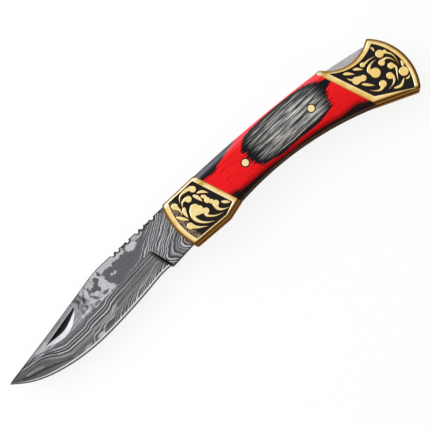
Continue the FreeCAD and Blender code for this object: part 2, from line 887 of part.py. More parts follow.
def make_lock_bar():
    """The rocking bar along the back, with its tooth over the tang and its tail bare in the
    thumb scoop."""
    thick = d.slot_width - d.bar_side_clearance * 2
    body = new_body("lock_bar", middle_z)
    sketch = new_sketch(body, "lock_bar_outline", lift=-(thick / 2))
    top = d.back_height - d.bar_top_clearance
    crest_y = d.bar_pin_height + d.bar_depth / 2
    under_y = crest_y - d.bar_depth
    neck_y = top - d.bar_neck_depth
    tail_bottom = d.bar_tail_height - d.bar_tail_depth
    outline = [
        corner(tooth_front_x, tooth_front_y),
        corner(tooth_back_x, tooth_back_y),
        corner(tooth_back_x, neck_y),
        corner(front_joint_x, neck_y),
        corner(d.bar_pin_reach, under_y),
        corner(bar_tail_x, tail_bottom),
        corner(bar_tail_x, d.bar_tail_height, d.bar_tail_radius),
        corner(d.bar_pin_reach, crest_y, d.back_radius),
        corner(tooth_front_x, top),
    ]
    draw_outline(sketch, outline)
    running = d.bar_pin_diameter / 2 + d.pivot_running_clearance
    draw_circle(sketch, bar_pin[0], bar_pin[1], running)
    pad(body, sketch, thick)
    return body


def bar_underside(x):
    """Height of the underside of the lock bar behind its pin."""
    under_y = d.bar_pin_height - d.bar_depth / 2
    tail_bottom = d.bar_tail_height - d.bar_tail_depth
    fall = (under_y - tail_bottom) / (bar_tail_x - d.bar_pin_reach)
    return under_y - (x - d.bar_pin_reach) * fall


def make_lock_spring():
    """A leaf whose foot is pinned at the butt and whose free end bears up on the bar."""
    thick = d.slot_width - d.bar_side_clearance * 2
    body = new_body("lock_spring", middle_z)
    sketch = new_sketch(body, "lock_spring_outline", lift=-(thick / 2))
    foot_back = spring_foot_x + d.spring_foot_length
    foot_top = -d.spring_foot_drop
    foot_bottom = foot_top - d.spring_foot_depth
    tip_y = bar_underside(leaf_tip_x) - d.leaf_bar_gap
    outline = [
        corner(leaf_tip_x, tip_y - d.leaf_thick),
        corner(spring_foot_x, foot_top - d.leaf_thick),
        corner(spring_foot_x, foot_bottom),
        corner(foot_back, foot_bottom),
        corner(foot_back, foot_top),
        corner(spring_foot_x, foot_top),
        corner(leaf_tip_x, tip_y),
    ]
    draw_outline(sketch, outline)
    draw_holes(sketch, spring_pins, d.spring_pin_diameter)
    pad(body, sketch, thick)
    return body


def make_parts():
    pieces = [make_blade(), make_lock_bar(), make_lock_spring()]
    pieces.append(
        make_through_pin("blade_pivot_pin", pivot, d.pivot_pin_bite, d.pivot_pin_diameter)
    )
    pieces.append(make_through_pin("lock_bar_pin", bar_pin, ZERO, d.bar_pin_diameter))
    pieces.append(make_spring_pins())
    for name, side in SIDES.items():
        pieces.append(make_liner(name, side))
        pieces.append(make_washer(name, side))
        pieces.append(make_front_bolster(name, side))
        pieces.append(make_rear_bolster(name, side))
        pieces.append(make_scale(name, side))
        for end in scale_pins:
            pieces.append(make_scale_pin(name, side, end))
        pieces.append(make_front_rivet(name, side))
    return pieces


def check_parts(pieces):
    """Stops if anything in the model failed or a piece has no sound shape."""
    doc.recompute()
    for item in doc.Objects:
        if "Invalid" in item.State or "Error" in item.State:
            raise RuntimeError(f"{item.Label} failed: {item.State}")
    for piece in pieces:
        if piece.Shape.isNull() or not piece.Shape.isValid():
            raise RuntimeError(f"{piece.Label} has no valid shape")


parts = make_parts()
check_parts(parts)
os.makedirs("parts", exist_ok=True)
for part in parts:
    part.Shape.exportStep(f"parts/{part.Label}.step")
    print(part.Label, round(part.Shape.Volume, 2))
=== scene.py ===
import json
import math

import bpy
import numpy as np
from mathutils import Euler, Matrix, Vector


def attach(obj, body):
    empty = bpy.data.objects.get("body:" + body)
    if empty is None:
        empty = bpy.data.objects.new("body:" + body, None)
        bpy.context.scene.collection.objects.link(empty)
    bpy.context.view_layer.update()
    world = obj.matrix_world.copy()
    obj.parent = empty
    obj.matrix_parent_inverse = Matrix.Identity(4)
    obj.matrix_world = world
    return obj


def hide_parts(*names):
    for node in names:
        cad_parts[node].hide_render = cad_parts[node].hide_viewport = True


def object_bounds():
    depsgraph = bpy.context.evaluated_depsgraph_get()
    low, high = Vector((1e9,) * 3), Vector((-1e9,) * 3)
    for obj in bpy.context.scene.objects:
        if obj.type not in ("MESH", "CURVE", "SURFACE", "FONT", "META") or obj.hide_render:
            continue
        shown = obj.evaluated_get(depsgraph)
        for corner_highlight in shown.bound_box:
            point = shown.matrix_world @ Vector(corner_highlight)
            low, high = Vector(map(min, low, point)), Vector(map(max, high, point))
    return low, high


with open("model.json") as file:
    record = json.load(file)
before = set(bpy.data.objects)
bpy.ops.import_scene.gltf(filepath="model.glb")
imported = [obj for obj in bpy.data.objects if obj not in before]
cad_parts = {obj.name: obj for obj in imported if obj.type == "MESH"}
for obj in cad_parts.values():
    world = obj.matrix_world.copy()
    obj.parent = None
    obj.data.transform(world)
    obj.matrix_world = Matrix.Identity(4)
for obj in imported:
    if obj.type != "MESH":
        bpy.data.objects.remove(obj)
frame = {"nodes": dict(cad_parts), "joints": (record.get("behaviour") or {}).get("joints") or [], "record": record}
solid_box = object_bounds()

# Places on the knife are drawn in millimetres from a datum a little behind the pivot: x towards
# the butt, y towards the back and z up from the middle of the blade.
MM = 0.001
JOINTS = {joint["name"]: joint for joint in frame["joints"]}
PIVOT = np.array(JOINTS["blade_fold"]["pos_m"])
DATUM = PIVOT + np.array([6.5, -1.0, 0.0]) * MM
SIDES = {"upper": 1.0, "lower": -1.0}

# Where the scale pins stand, and their radius.
SCALE_PINS = [(24.2, 2.3), (58.3, 0.2)]
PIN_RADIUS = 1.6


# Shader maths


class Wire:
    """A number that leaves a node. Arithmetic on it adds Math nodes to its finish."""

    def __init__(self, finish, socket):
        self.finish = finish
        self.socket = socket

    def math(self, operation, *values):
        return self.finish.node("ShaderNodeMath", {"operation": operation}, values)

    def __add__(self, other):
        return self.math("ADD", self, other)

    def __sub__(self, other):
        return self.math("SUBTRACT", self, other)

    def __rsub__(self, other):
        return self.math("SUBTRACT", other, self)

    def __mul__(self, other):
        return self.math("MULTIPLY", self, other)

    def __truediv__(self, other):
        return self.math("DIVIDE", self, other)

    def __abs__(self):
        return self.math("ABSOLUTE", self)

    __radd__ = __add__
    __rmul__ = __mul__

    def least(self, other):
        return self.math("MINIMUM", self, other)

    def most(self, other):
        return self.math("MAXIMUM", self, other)

    def sine(self):
        return self.math("SINE", self)

    def root(self):
        return self.math("SQRT", self)

    def toward(self, other, share):
        """This number where the share is 0 and another where it is 1."""
        return self + (other - self) * share

    def step(self, low, high):
        """0 below low, 1 above high and a smooth rise between them. Falls where low is above high."""
        settings = {"interpolation_type": "SMOOTHSTEP"}
        if low < high:
            return self.finish.node("ShaderNodeMapRange", settings, (self, low, high, 0.0, 1.0))
        return self.finish.node("ShaderNodeMapRange", settings, (self, high, low, 1.0, 0.0))


class Finish:
    """A material whose patterns read the places drawn on the knife, raised a little or not."""

    def __init__(self, name, rise=0.0):
        self.material = bpy.data.materials.new(name)
        self.material.use_nodes = True
        self.tree = self.material.node_tree
        self.tree.nodes.clear()
        self.made = {}
        coords = self.node("ShaderNodeTexCoord", out="Object")
        moved = self.vector("SUBTRACT", coords, tuple(DATUM + np.array([0.0, rise * MM, 0.0])))
        self.place = self.vector("SCALE", moved, Scale=1.0 / MM)
        self.x, self.y, self.z = self.parts(self.place)

    def node(self, kind, settings=None, values=(), out=0):
        """A node that is set up and has its sockets filled with values or links, by place or name.
        The same node asked for again is the one made before."""
        pairs = list(values.items() if isinstance(values, dict) else enumerate(values))
        marks = [(key, v.socket.as_pointer() if isinstance(v, Wire) else repr(v)) for key, v in pairs]
        mark = (kind, repr(settings), tuple(marks))
        if mark not in self.made:
            self.made[mark] = self.add_node(kind, settings or {}, pairs)
        return Wire(self, self.made[mark].outputs[out])

    def add_node(self, kind, settings, pairs):
        """A new node with its settings, and its sockets filled in pairs."""
        node = self.tree.nodes.new(kind)
        for name, value in settings.items():
            if name == "stops":
                self.fill_ramp(node, value)
            elif name == "bends":
                self.fill_curve(node, value)
            else:
                setattr(node, name, value)
        for key, value in pairs:
            if isinstance(value, Wire):
                self.tree.links.new(value.socket, node.inputs[key])
            else:
                node.inputs[key].default_value = value
        return node

    @staticmethod
    def fill_ramp(node, stops):
        """Sets the (position, colour) stops of a colour ramp."""
        ramp = node.color_ramp
        while len(ramp.elements) < len(stops):
            ramp.elements.new(1.0)
        for element, (position, colour) in zip(ramp.elements, stops):
            element.position = position
            element.color = (*colour, 1.0)

    @staticmethod
    def fill_curve(node, bends):
        """Sets the points of a float curve, in the unit square."""
        points = node.mapping.curves[0].points
        while len(points) < len(bends):
            points.new(0.5, 0.5)
        for point, bend in zip(points, bends):
            point.location = bend
            point.handle_type = "AUTO_CLAMPED"
        node.mapping.update()

    def vector(self, operation, *values, **named):
        """Vector maths, with sockets filled by place or name."""
        filled = dict(enumerate(values), **named)
        return self.node("ShaderNodeVectorMath", {"operation": operation}, filled)

    def noise(self, place, detail=2.0, rough=0.5, bend=0.0):
        """Cloudy noise from 0 to 1, about one cloud to each unit of the place."""
        values = {"Vector": place, "Scale": 1.0, "Detail": detail, "Roughness": rough, "Distortion": bend}
        return self.node("ShaderNodeTexNoise", {"noise_dimensions": "3D"}, values)

    def texture(self, along, across, up=None, shift=(0.0, 0.0, 0.0), **look):
        """Noise with a frequency of its own along each axis, for clouds, grain and streaks."""
        scaled = self.vector("MULTIPLY", self.place, (along, across, across if up is None else up))
        return self.noise(self.vector("ADD", scaled, shift), **look)

    def bands(self, across, along, layer):
        """Uneven bands, light and dark, about one pair to each two units across."""
        place = self.node("ShaderNodeCombineXYZ", values=(across, along, layer))
        return self.noise(place, detail=2.0, rough=0.55).step(0.40, 0.60)

    def threads(self, across, along, layer):
        """Thin bright lines, up to 1, about one to each unit across, with dark ones between them.
        Noise shifts the waves that they follow and weakens some."""
        place = self.node("ShaderNodeCombineXYZ", values=(across * 0.35, along, layer))
        shift = self.noise(place, detail=2.0, rough=0.55)
        place = self.node("ShaderNodeCombineXYZ", values=(across * 0.6, along * 2.0, layer + 20.0))
        strong = self.noise(place, detail=1.0).step(0.30, 0.65)
        wave = (across * (2.0 * math.pi) + shift * 17.0).sine()
        return wave.step(0.25, 0.95) * (strong * 0.8 + 0.2) - wave.step(-0.1, -0.9) * (strong * 0.4 + 0.2)

    def reach(self, to_x, to_y, wide=1.0, tall=1.0):
        """Distance across the knife's face from a drawn point, in some widths and heights."""
        run = (self.x - to_x) / wide
        rise = (self.y - to_y) / tall
        return (run * run + rise * rise).root()

    def line(self, along, points):
        """A height that follows a drawn line: (place, height) pairs joined by a smooth curve."""
        places = [place for place, _ in points]
        heights = [height for _, height in points]
        low, wide = places[0], places[-1] - places[0]
        deep, tall = min(heights), max(heights) - min(heights)
        bends = [((place - low) / wide, (height - deep) / tall) for place, height in points]
        share = (along - low) / wide
        curve = self.node("ShaderNodeFloatCurve", {"bends": bends}, {"Value": share})
        return curve * tall + deep

    def trace(self, along, across, points, half):
        """1 along a drawn line, with soft ends and with soft sides about half its width away."""
        low, high = points[0][0], points[-1][0]
        ends = along.step(low - 0.4, low + 0.8) * along.step(high + 0.4, high - 0.8)
        return abs(across - self.line(along, points)).step(half * 1.3, half * 0.5) * ends

    def blend(self, share, first, second):
        """One colour over another by a share from 0 to 1."""
        first, second = (c if isinstance(c, Wire) else (*c, 1.0) for c in (first, second))
        settings = {"data_type": "RGBA", "blend_type": "MIX", "clamp_factor": True}
        return self.node("ShaderNodeMix", settings, {0: share, 6: first, 7: second}, out=2)

    def ramp(self, share, *stops):
        """A colour that runs through (share, colour) stops."""
        return self.node("ShaderNodeValToRGB", {"stops": stops}, (share,))

    def bump(self, height, depth, strength=1.0):
        """A surface direction from a height, with its depth in millimetres."""
        values = {"Strength": strength, "Distance": depth * MM, "Height": height}
        return self.node("ShaderNodeBump", values=values)

    def parts(self, vector):
        """The parts of a vector along x, y and z."""
        return [self.node("ShaderNodeSeparateXYZ", values=(vector,), out=axis) for axis in range(3)]

    def facing(self):
        """The parts of the surface's own direction along x, y and z."""
        return self.parts(self.node("ShaderNodeTexCoord", out="Normal"))

    def level(self):
        """How level the surface is, from 0 on a wall to 1 on a flat face."""
        return abs(self.facing()[2])

    def attribute(self, name):
        """A share that is stored on a mesh's points, or 0 on a mesh without it."""
        return self.node("ShaderNodeAttribute", {"attribute_name": name}, out="Fac")

    def coat_with(self, **sockets):
        """Closes the material with a Principled shader."""
        values = {key.replace("_", " ").title().replace("Ior", "IOR"): sockets[key] for key in sockets}
        shader = self.node("ShaderNodeBsdfPrincipled", values=values)
        output = self.tree.nodes.new("ShaderNodeOutputMaterial")
        self.tree.links.new(shader.socket, output.inputs[0])
        return self.material


# Finishes


BRASS_HIGHLIGHT = (0.93, 0.84, 0.62)
BRASS_PALE = (0.82, 0.67, 0.33)
BRASS_GOLD = (0.76, 0.55, 0.18)
BRASS_DEEP = (0.62, 0.305, 0.062)
BRASS_SIDE = (0.56, 0.300, 0.085)
BRASS_WALL = (0.34, 0.155, 0.040)
BRASS_SHADE_BROWN = (0.24, 0.105, 0.028)
BRASS_GRAZED = (0.50, 0.32, 0.14)
BRASS_DARK_REFLECTION = (0.54, 0.32, 0.075)
GROUND_BLACK = (0.012, 0.011, 0.010)
GROUND_BROWN = (0.30, 0.210, 0.140)
LINER_DARK = (0.055, 0.033, 0.017)
LINER_LIGHT = (0.225, 0.135, 0.062)
PIN_PALE = (0.84, 0.68, 0.36)
PIN_GOLD = (0.76, 0.58, 0.27)

# Brass deepens over a range of x towards the butt, and borders get a painted highlight over a range
# of y at the top. A band of painted darker reflection, which falls a little towards the butt, crosses
# the borders behind a range of x.
BUTTWARD = (10.0, 80.0)
BORDER_TOP = (10.2, 11.2)
BAND_HEIGHT = 8.5
BAND_FALL = 0.027
BAND_REACH = (1.4, 0.5)
BAND_START = (3.5, 4.5)

# The front corner of the thumb scoop, which has a painted highlight, and where the ground of the
# front panel is worn.
SCOOP_CORNER = (70.0, 9.4)
SCOOP_REACH = (2.6, 1.4)
WORN_FRONT = -10.4

# The share across a border starts at this value, because a mesh without that share reads 0.
RIM_START = 0.01


def brass_colour(finish):
    """Polished brass: pale gold with cloudy handling marks. A border has a painted highlight along its
    panel, at its top and towards the back, painted shade towards its rim and a painted brown shade
    line along its outer edge, crossed by a band of painted darker reflection. Faces that turn away
    from level have painted shade, but not the front corner of the thumb scoop, which has a painted
    highlight, as do leaf edges that face the back. Walls are a darker brown, partly patina and
    partly painted shade."""
    x, y = finish.x, finish.y
    cloud = finish.texture(0.22, 0.3, detail=3.0, rough=0.6)
    gold = finish.blend(cloud.step(0.35, 0.85) + x.step(*BUTTWARD) * 0.7, BRASS_PALE, BRASS_GOLD)
    rim = finish.attribute("rim")
    on_rim = rim.step(0.0, RIM_START)
    backward = finish.facing()[1]
    level = finish.level()
    sheen = finish.texture(0.16, 0.20, 0.2, (4.0, 8.0, 0.0), detail=1.0).step(0.42, 0.62)
    # Painted highlight: the border whitens along its panel and where it faces the back, in patches.
    bright = rim.step(0.45, 0.05) * 0.5 + backward.step(0.01, 0.12) * 0.5
    gold = finish.blend(bright * on_rim * (sheen * 0.7 + 0.3), gold, BRASS_HIGHLIGHT)
    # Cloudy handling marks, with painted shade that deepens towards the outer rim.
    rim_shade_and_handling = (rim + cloud * 0.6 - sheen * 0.25 - 0.15).step(0.30, 1.0) * 0.75
    gold = finish.blend(rim_shade_and_handling, gold, BRASS_DEEP)
    # Painted darker reflection: a band across the borders.
    reflected_band = abs(y + x * BAND_FALL - BAND_HEIGHT).step(*BAND_REACH) * x.step(*BAND_START) * on_rim
    gold = finish.blend(reflected_band * 0.9, gold, BRASS_DARK_REFLECTION)
    # Painted highlight on the scoop's front corner, on leaf edges that face the back and along the top border.
    corner_highlight = finish.reach(*SCOOP_CORNER).step(*SCOOP_REACH)
    lit = backward.step(0.06, 0.28) * (1.0 - on_rim) * 0.7
    top = y.step(*BORDER_TOP) * on_rim * 0.75
    gold = finish.blend(lit.most(top).most(corner_highlight * 0.8), gold, BRASS_HIGHLIGHT)
    # Painted shade: faces that turn away from level deepen, and a brown line runs along the outer rim, except on
    # back-facing rim slopes and the scoop's corner.
    spared = backward.step(0.10, 0.30) * rim.step(0.90, 0.62) * 0.8
    turned = level.step(0.990, 0.83)
    edged = finish.blend(turned * (1.0 - spared.most(corner_highlight * 0.8)), gold, BRASS_DEEP)
    border = (rim.step(0.80, 0.98) * 0.75).most(rim.step(0.66, 0.90) * turned * 0.85)
    edged = finish.blend(border * (1.0 - corner_highlight), edged, BRASS_SHADE_BROWN)
    # Walls are painted darker brown, darkest towards the blade's middle: partly patina, partly painted shade.
    wall = finish.blend(abs(finish.z).step(2.8, 6.6) * 0.8 + cloud * 0.3, BRASS_WALL, BRASS_SIDE)
    return finish.blend(level.step(0.75, 0.25), edged, wall)


def brass_marks(finish):
    """Fine polishing lines across the brass."""
    return finish.texture(0.6, 6.0, detail=4.0, rough=0.7)


def polished_brass():
    """Brass of the bolsters' borders and walls, rougher on the walls."""
    finish = Finish("polished_brass")
    marks = brass_marks(finish)
    return finish.coat_with(
        base_color=brass_colour(finish),
        metallic=1.0,
        roughness=marks * 0.16 + 0.14 + finish.level().step(0.6, 0.15) * 0.15,
        specular_tint=(*BRASS_GRAZED, 1.0),
        normal=finish.bump(marks, 0.01, 0.35),
    )


def scroll_brass():
    """Brass scrolls over a blackened, punched ground that is worn brown at the front, with their
    sloping sides painted brown as shade.
    """
    finish = Finish("scroll_brass")
    leaf = finish.attribute("leaf")
    marks = brass_marks(finish)
    patch = finish.texture(0.16, 0.16, detail=3.0, rough=0.55)
    punch = finish.texture(2.6, 2.6, detail=2.0, rough=0.6)
    fleck = finish.texture(1.1, 1.1, 1.1, (2.0, 3.0, 0.0), detail=2.0, rough=0.7)
    wear_and_sheen = (patch * 6.0 + WORN_FRONT - finish.x).step(0.0, 2.5) * fleck.step(0.36, 0.62)
    ground = finish.blend(wear_and_sheen, GROUND_BLACK, GROUND_BROWN)
    # Painted shade: the scrolls' sloping sides are brown.
    edge = finish.blend(leaf.step(0.15, 0.55), ground, BRASS_SHADE_BROWN)
    colour = finish.blend(leaf.step(0.45, 0.85), edge, brass_colour(finish))
    shine = leaf.step(0.4, 0.8)
    return finish.coat_with(
        base_color=colour,
        metallic=shine,
        roughness=0.62 - shine * 0.42,
        specular_ior_level=0.08,
        normal=finish.bump(punch * (1.0 - shine) + marks * shine * 0.2, 0.05, 0.5),
    )


def liner_brass():
    """Brass of the liners and washers, darkened in clouds along the handle."""
    finish = Finish("liner_brass")
    cloud = finish.texture(0.3, 1.2, detail=4.0, rough=0.65)
    colour = finish.ramp(cloud, (0.25, LINER_DARK), (0.75, LINER_LIGHT))
    return finish.coat_with(
        base_color=colour,
        metallic=1.0,
        roughness=cloud * 0.2 + 0.4,
        specular_tint=(*BRASS_GRAZED, 1.0),
        normal=finish.bump(cloud, 0.02, 0.4),
    )


def pin_brass():
    """Brass pins, scratched all over, with a brown rim of painted shade on those in the scales."""
    finish = Finish("pin_brass")
    marks = finish.texture(5.0, 5.0, detail=3.0, rough=0.6)
    colour = finish.blend(marks.step(0.3, 0.8), PIN_PALE, PIN_GOLD)
    # Painted shade: a brown rim just inside the edge of each scale pin.
    for pin in SCALE_PINS:
        away = finish.reach(*pin)
        rim = away.step(PIN_RADIUS - 0.28, PIN_RADIUS - 0.10) * away.step(2.4, 2.0)
        colour = finish.blend(rim, colour, BRASS_SHADE_BROWN)
    return finish.coat_with(
        base_color=colour,
        metallic=1.0,
        roughness=marks * 0.15 + 0.18,
        normal=finish.bump(marks, 0.01, 0.3),
    )


STEEL_DARK = (0.036, 0.036, 0.039)
STEEL_MIDDLE = (0.150, 0.150, 0.158)
STEEL_LIGHT = (0.50, 0.50, 0.515)
STEEL_BRIGHT = (0.47, 0.47, 0.48)
STEEL_BLACK = (0.010, 0.009, 0.009)
STEEL_GREY = (0.34, 0.34, 0.35)
SPINE_DARK = (0.10, 0.095, 0.09)
SPINE_LIGHT = (0.26, 0.25, 0.245)
EDGE_BRIGHT = (0.68, 0.68, 0.69)
EDGE_GREY = (0.16, 0.16, 0.165)
STEEL_SHADE = (0.020, 0.014, 0.010)
NOTCH_SHADE = (0.036, 0.029, 0.025)
BELT_DARK = (0.26, 0.26, 0.265)
BELT_LIGHT = (0.52, 0.52, 0.53)

# Half the blade's thickness, and depths in from its flats: the cutting edge, the range over which
# the ground shoulder above it starts and the range over which the honed line starts.
BLADE_HALF = 1.45
EDGE_DEPTH = 1.2
EDGE_SHOULDER = (1.10, 1.125)
EDGE_HONED = (1.165, 1.19)

# Marks on the blade are drawn as photographed, this much under their true heights. The spine, the
# line that the long layers follow on the bevels and the start of the slanting ones: (x, y) pairs.
BLADE_RISE = 0.6
SPINE = [
    (-104.0, 2.4), (-98.0, 3.4), (-92.0, 4.41), (-86.0, 5.46), (-80.0, 6.54), (-74.0, 7.65), (-68.0, 8.8),
    (-62.0, 9.98), (-56.0, 11.18), (-53.0, 11.75), (-50.0, 12.11), (-47.0, 12.24), (-10.0, 12.25),
]
FLOW = [
    (-106.0, 3.5), (-100.0, 3.2), (-95.0, 2.7), (-90.0, 2.1), (-87.0, 1.3), (-84.0, 0.0),
    (-81.0, -1.3), (-78.0, -2.0), (-68.5, -2.0), (-66.0, -1.15), (-57.5, -0.8), (-54.0, 0.4),
    (-50.0, 1.0), (-40.0, 1.9), (-30.0, 2.7), (-20.0, 3.2),
]
SLANT = [
    (-60.0, 0.2), (-45.0, 1.2), (-38.0, 2.0), (-33.0, 3.4), (-29.0, 5.8), (-24.0, 9.2), (-10.0, 18.6),
]

# The painted shade line along the foot of the ricasso.
RICASSO_FOOT = [(-25.8, -8.25), (-20.0, -7.85), (-12.0, -7.35)]

# Bold layers beside the long line: height over it, half width and how much lighter each one is.
# One wide, faint layer lies among them.
BOLD_LAYERS = [
    (1.2, 0.30, -0.16), (0.5, 0.26, -0.20), (0.0, 0.32, 0.44), (-0.6, 0.30, -0.36), (-1.1, 0.26, 0.26),
    (-1.75, 0.36, -0.38), (-2.4, 0.34, 0.46), (-3.05, 0.30, -0.38), (-5.0, 0.32, -0.26),
]
FAINT_LAYER = -4.1

# Single lines on the bevels as (x, y) pairs, and lines across the flats as (y, x) pairs, each with
# its half width and how much lighter it is.
BEVEL_LINES = [
    ([(-70.2, -9.7), (-69.5, -9.2), (-68.8, -8.2), (-68.2, -7.4), (-67.2, -7.0), (-64.6, -6.85),
      (-63.6, -6.3), (-62.0, -5.9), (-57.5, -5.75), (-56.3, -5.2), (-55.0, -4.3), (-53.0, -3.9)],
     0.30, 0.42),
    ([(-68.9, -9.6), (-68.3, -8.6), (-67.6, -7.7), (-64.8, -7.4), (-63.4, -6.9)], 0.30, -0.35),
    ([(-65.0, -10.0), (-64.3, -9.2), (-63.6, -8.3), (-62.9, -7.5), (-62.0, -7.1), (-60.0, -6.65),
      (-57.5, -6.6), (-56.3, -6.2), (-55.0, -5.3), (-53.0, -4.9)], 0.30, 0.42),
    ([(-41.6, -6.2), (-40.5, -5.3), (-37.0, -4.7), (-34.0, -4.0), (-31.0, -2.9), (-29.3, -2.6),
      (-28.0, -3.2)], 0.22, 0.36),
]
TIP_LINES = [
    ([(-99.5, 3.0), (-95.0, 3.0), (-92.0, 2.75), (-89.0, 2.45), (-87.0, 1.6), (-84.0, 0.4)], 0.30, -0.34),
    ([(-99.0, 2.8), (-95.0, 2.35), (-92.0, 2.0), (-90.0, 1.6), (-88.0, 0.8), (-86.0, -0.2), (-84.0, -1.3)],
     0.30, -0.34),
    ([(-99.0, 2.3), (-95.0, 1.75), (-92.0, 1.3), (-90.0, 0.9), (-88.0, 0.1), (-86.0, -0.9), (-84.0, -2.0)],
     0.24, 0.36),
    ([(-99.0, 1.8), (-95.0, 1.3), (-92.0, 0.8), (-90.0, 0.4), (-88.0, -0.4), (-86.0, -1.4), (-84.0, -2.6)],
     0.26, -0.36),
    ([(-99.5, -0.2), (-97.0, -0.7), (-94.0, -1.4), (-91.0, -2.4)], 0.55, 0.24),
    ([(-101.5, -0.1), (-99.0, -1.2), (-96.0, -2.2), (-92.0, -3.3), (-88.0, -4.7), (-84.0, -6.3),
      (-80.0, -7.8)], 0.50, -0.30),
    ([(-91.0, 3.4), (-88.0, 3.5), (-84.0, 4.1)], 0.80, 0.22),
]
CROSS_LINES = [
    ([(2.3, -55.3), (3.0, -56.6), (3.6, -57.0), (4.5, -57.5), (5.4, -58.4), (6.3, -58.1), (7.2, -57.7),
      (8.4, -57.5), (9.3, -57.7), (10.4, -58.2)], 0.55, -0.52),
    ([(2.6, -63.2), (3.2, -62.4), (3.9, -62.0), (4.5, -63.0), (5.0, -63.1), (5.5, -62.0), (6.2, -61.3),
      (7.0, -61.1), (7.8, -60.4), (8.6, -59.7), (9.4, -59.2), (10.0, -59.0)], 0.50, -0.45),
    ([(5.0, -65.3), (5.8, -64.8), (6.6, -63.9), (7.3, -63.3), (8.0, -63.8), (8.6, -64.3)], 0.45, -0.30),
]

# Patches where one layer surfaces: middle, half width, half height and tone. The dark ground of
# the flats starts at a ragged edge, drawn as (y, x) pairs.
BEVEL_PATCHES = [(-65.5, -8.7, 1.7, 0.9, 0.90), (-59.6, -7.6, 2.6, 0.75, 0.20), (-73.0, -8.7, 1.9, 0.6, 0.72)]
PALE_PATCHES = [
    (-54.9, 6.7, 2.0, 1.1, 0.26), (-53.7, 7.7, 1.2, 1.0, 0.26), (-52.5, 8.9, 1.2, 1.4, 0.26),
    (-53.7, 5.8, 1.0, 1.1, 0.26), (-50.1, 10.1, 0.7, 1.1, 0.30), (-52.5, 2.7, 1.5, 0.7, 0.36),
    (-58.0, 1.8, 1.7, 0.6, 0.46), (-66.1, 1.7, 1.0, 0.5, 0.92), (-63.3, 1.9, 1.5, 0.6, 0.92),
]
DARK_EDGE = [
    (0.0, -47.0), (2.0, -47.4), (3.0, -47.9), (4.0, -48.6), (5.0, -49.1), (6.0, -48.9), (7.0, -48.8),
    (8.0, -49.0), (9.0, -49.4), (10.0, -49.6), (13.0, -50.0),
]
DARK_PATCHES = [
    (-32.6, 9.5, 2.7, 1.7, 0.92), (-28.4, 11.0, 2.7, 1.3, 0.76), (-45.8, 6.3, 0.7, 0.4, 0.88),
    (-44.3, 6.1, 0.8, 0.5, 0.92),
]

# The upper limit of the light in the nail nick, and the file notches near the top of the spine:
# places along it with the reach of the painted shade round each.
NICK_SHADE = [
    (-87.0, 3.3), (-84.5, 3.1), (-82.0, 2.95), (-80.0, 2.8), (-77.0, 2.7), (-75.0, 2.9), (-72.0, 3.85),
    (-70.0, 4.7), (-68.0, 5.6), (-64.0, 7.4),
]
FILE_TOP = 11.75
FILE_NOTCHES = [
    (-40.1, 1.0), (-37.7, 1.0), (-35.2, 0.7), (-32.3, 1.1), (-26.9, 1.0), (-24.2, 1.05), (-21.3, 0.75),
    (-18.7, 1.0), (-14.6, 0.6),
]

# Ranges of x over which looks of the bevels come or go: lines spread out from the tip, dim towards
# it and grow stronger at the rear, and bold layers, arcs and the plain strip ahead of them start or
# end.
TIP_SPREAD = (-93.0, -83.0)
TIP_DIM = (-82.0, -92.0)
REAR_LINES = (-56.0, -48.0)
BOLD_REAR = (-44.0, -55.0)
BOLD_TIP = (-83.0, -88.0)
ARCS_FROM = (-60.5, -59.5)
ARCS_TO = ARCS_FROM[::-1]
STRIP_FROM = (-79.0, -76.0)

# The arcs at the edge: how far a bevel rises for each millimetre of depth, the greatest rise that is
# drawn, the rise at which an arc would lie along the blade and how far it sweeps.
BEVEL_SLOPE = 8.3
ARC_TOP = 4.0
ARC_LIMIT = 4.4
ARC_SWEEP = 5.0

# Ranges of x for the flats: clouds give way to darker ones and to bands along the spine, which dim
# towards the tip, and a pale strip ends. The bands and the nail nick follow the slope of the clip.
# The slanting lines turn round at a height of their own.
CLOUDS_TO = (-59.0, -62.0)
SPINE_BANDS = (-64.0, -68.5)
SPINE_DIM = (-88.0, -100.0)
PALE_STRIP = (-35.5, -36.5)
PALE_STRIP_FOOT = (9.3, 9.6)
CLIP_SLOPE = 0.19
TURN_HEIGHT = -4.6
TURN_SOFT = 2.2
TURN_SHIFT = 4.75

# Ranges of x for the nail nick: the end of its hollow, both ends of its wall and where its ground
# floor turns grey. Then the ricasso's start and the top and lean of the plunge.
NICK_REAR = (-60.0, -62.0)
NICK_WALL_TIP = (-87.0, -86.0)
NICK_WALL_REAR = (-62.5, -63.5)
NICK_WALL_TOP = (20.6, 20.4)
NICK_GREY = (-73.0, -68.0)
RICASSO = (-29.5, -28.0)
PLUNGE_TOP = (-28.4, 2.2)
PLUNGE_LEAN = 0.222


def filed_notch_shade(finish):
    """Painted shade round the file notches: a ring of its own round each."""
    shade_rings = None
    for place, reach in FILE_NOTCHES:
        ring = (finish.reach(place, FILE_TOP, 1.25) / reach).step(1.12, 0.92)
        shade_rings = ring if shade_rings is None else shade_rings.most(ring)
    return shade_rings


def patched(finish, tone, patches, ragged):
    """A tone with patches of others over it, whose outlines are ragged ovals."""
    for to_x, to_y, wide, tall, other in patches:
        away = finish.reach(to_x, to_y, wide, tall) + ragged / min(wide, tall)
        tone = tone.toward(other, away.step(1.12, 0.92))
    return tone


def lined(finish, tone, along, across, lines):
    """A tone with single lines over it, each lighter or darker by an amount of its own."""
    for points, half, lighter in lines:
        tone = tone + finish.trace(along, across, points, half) * lighter
    return tone


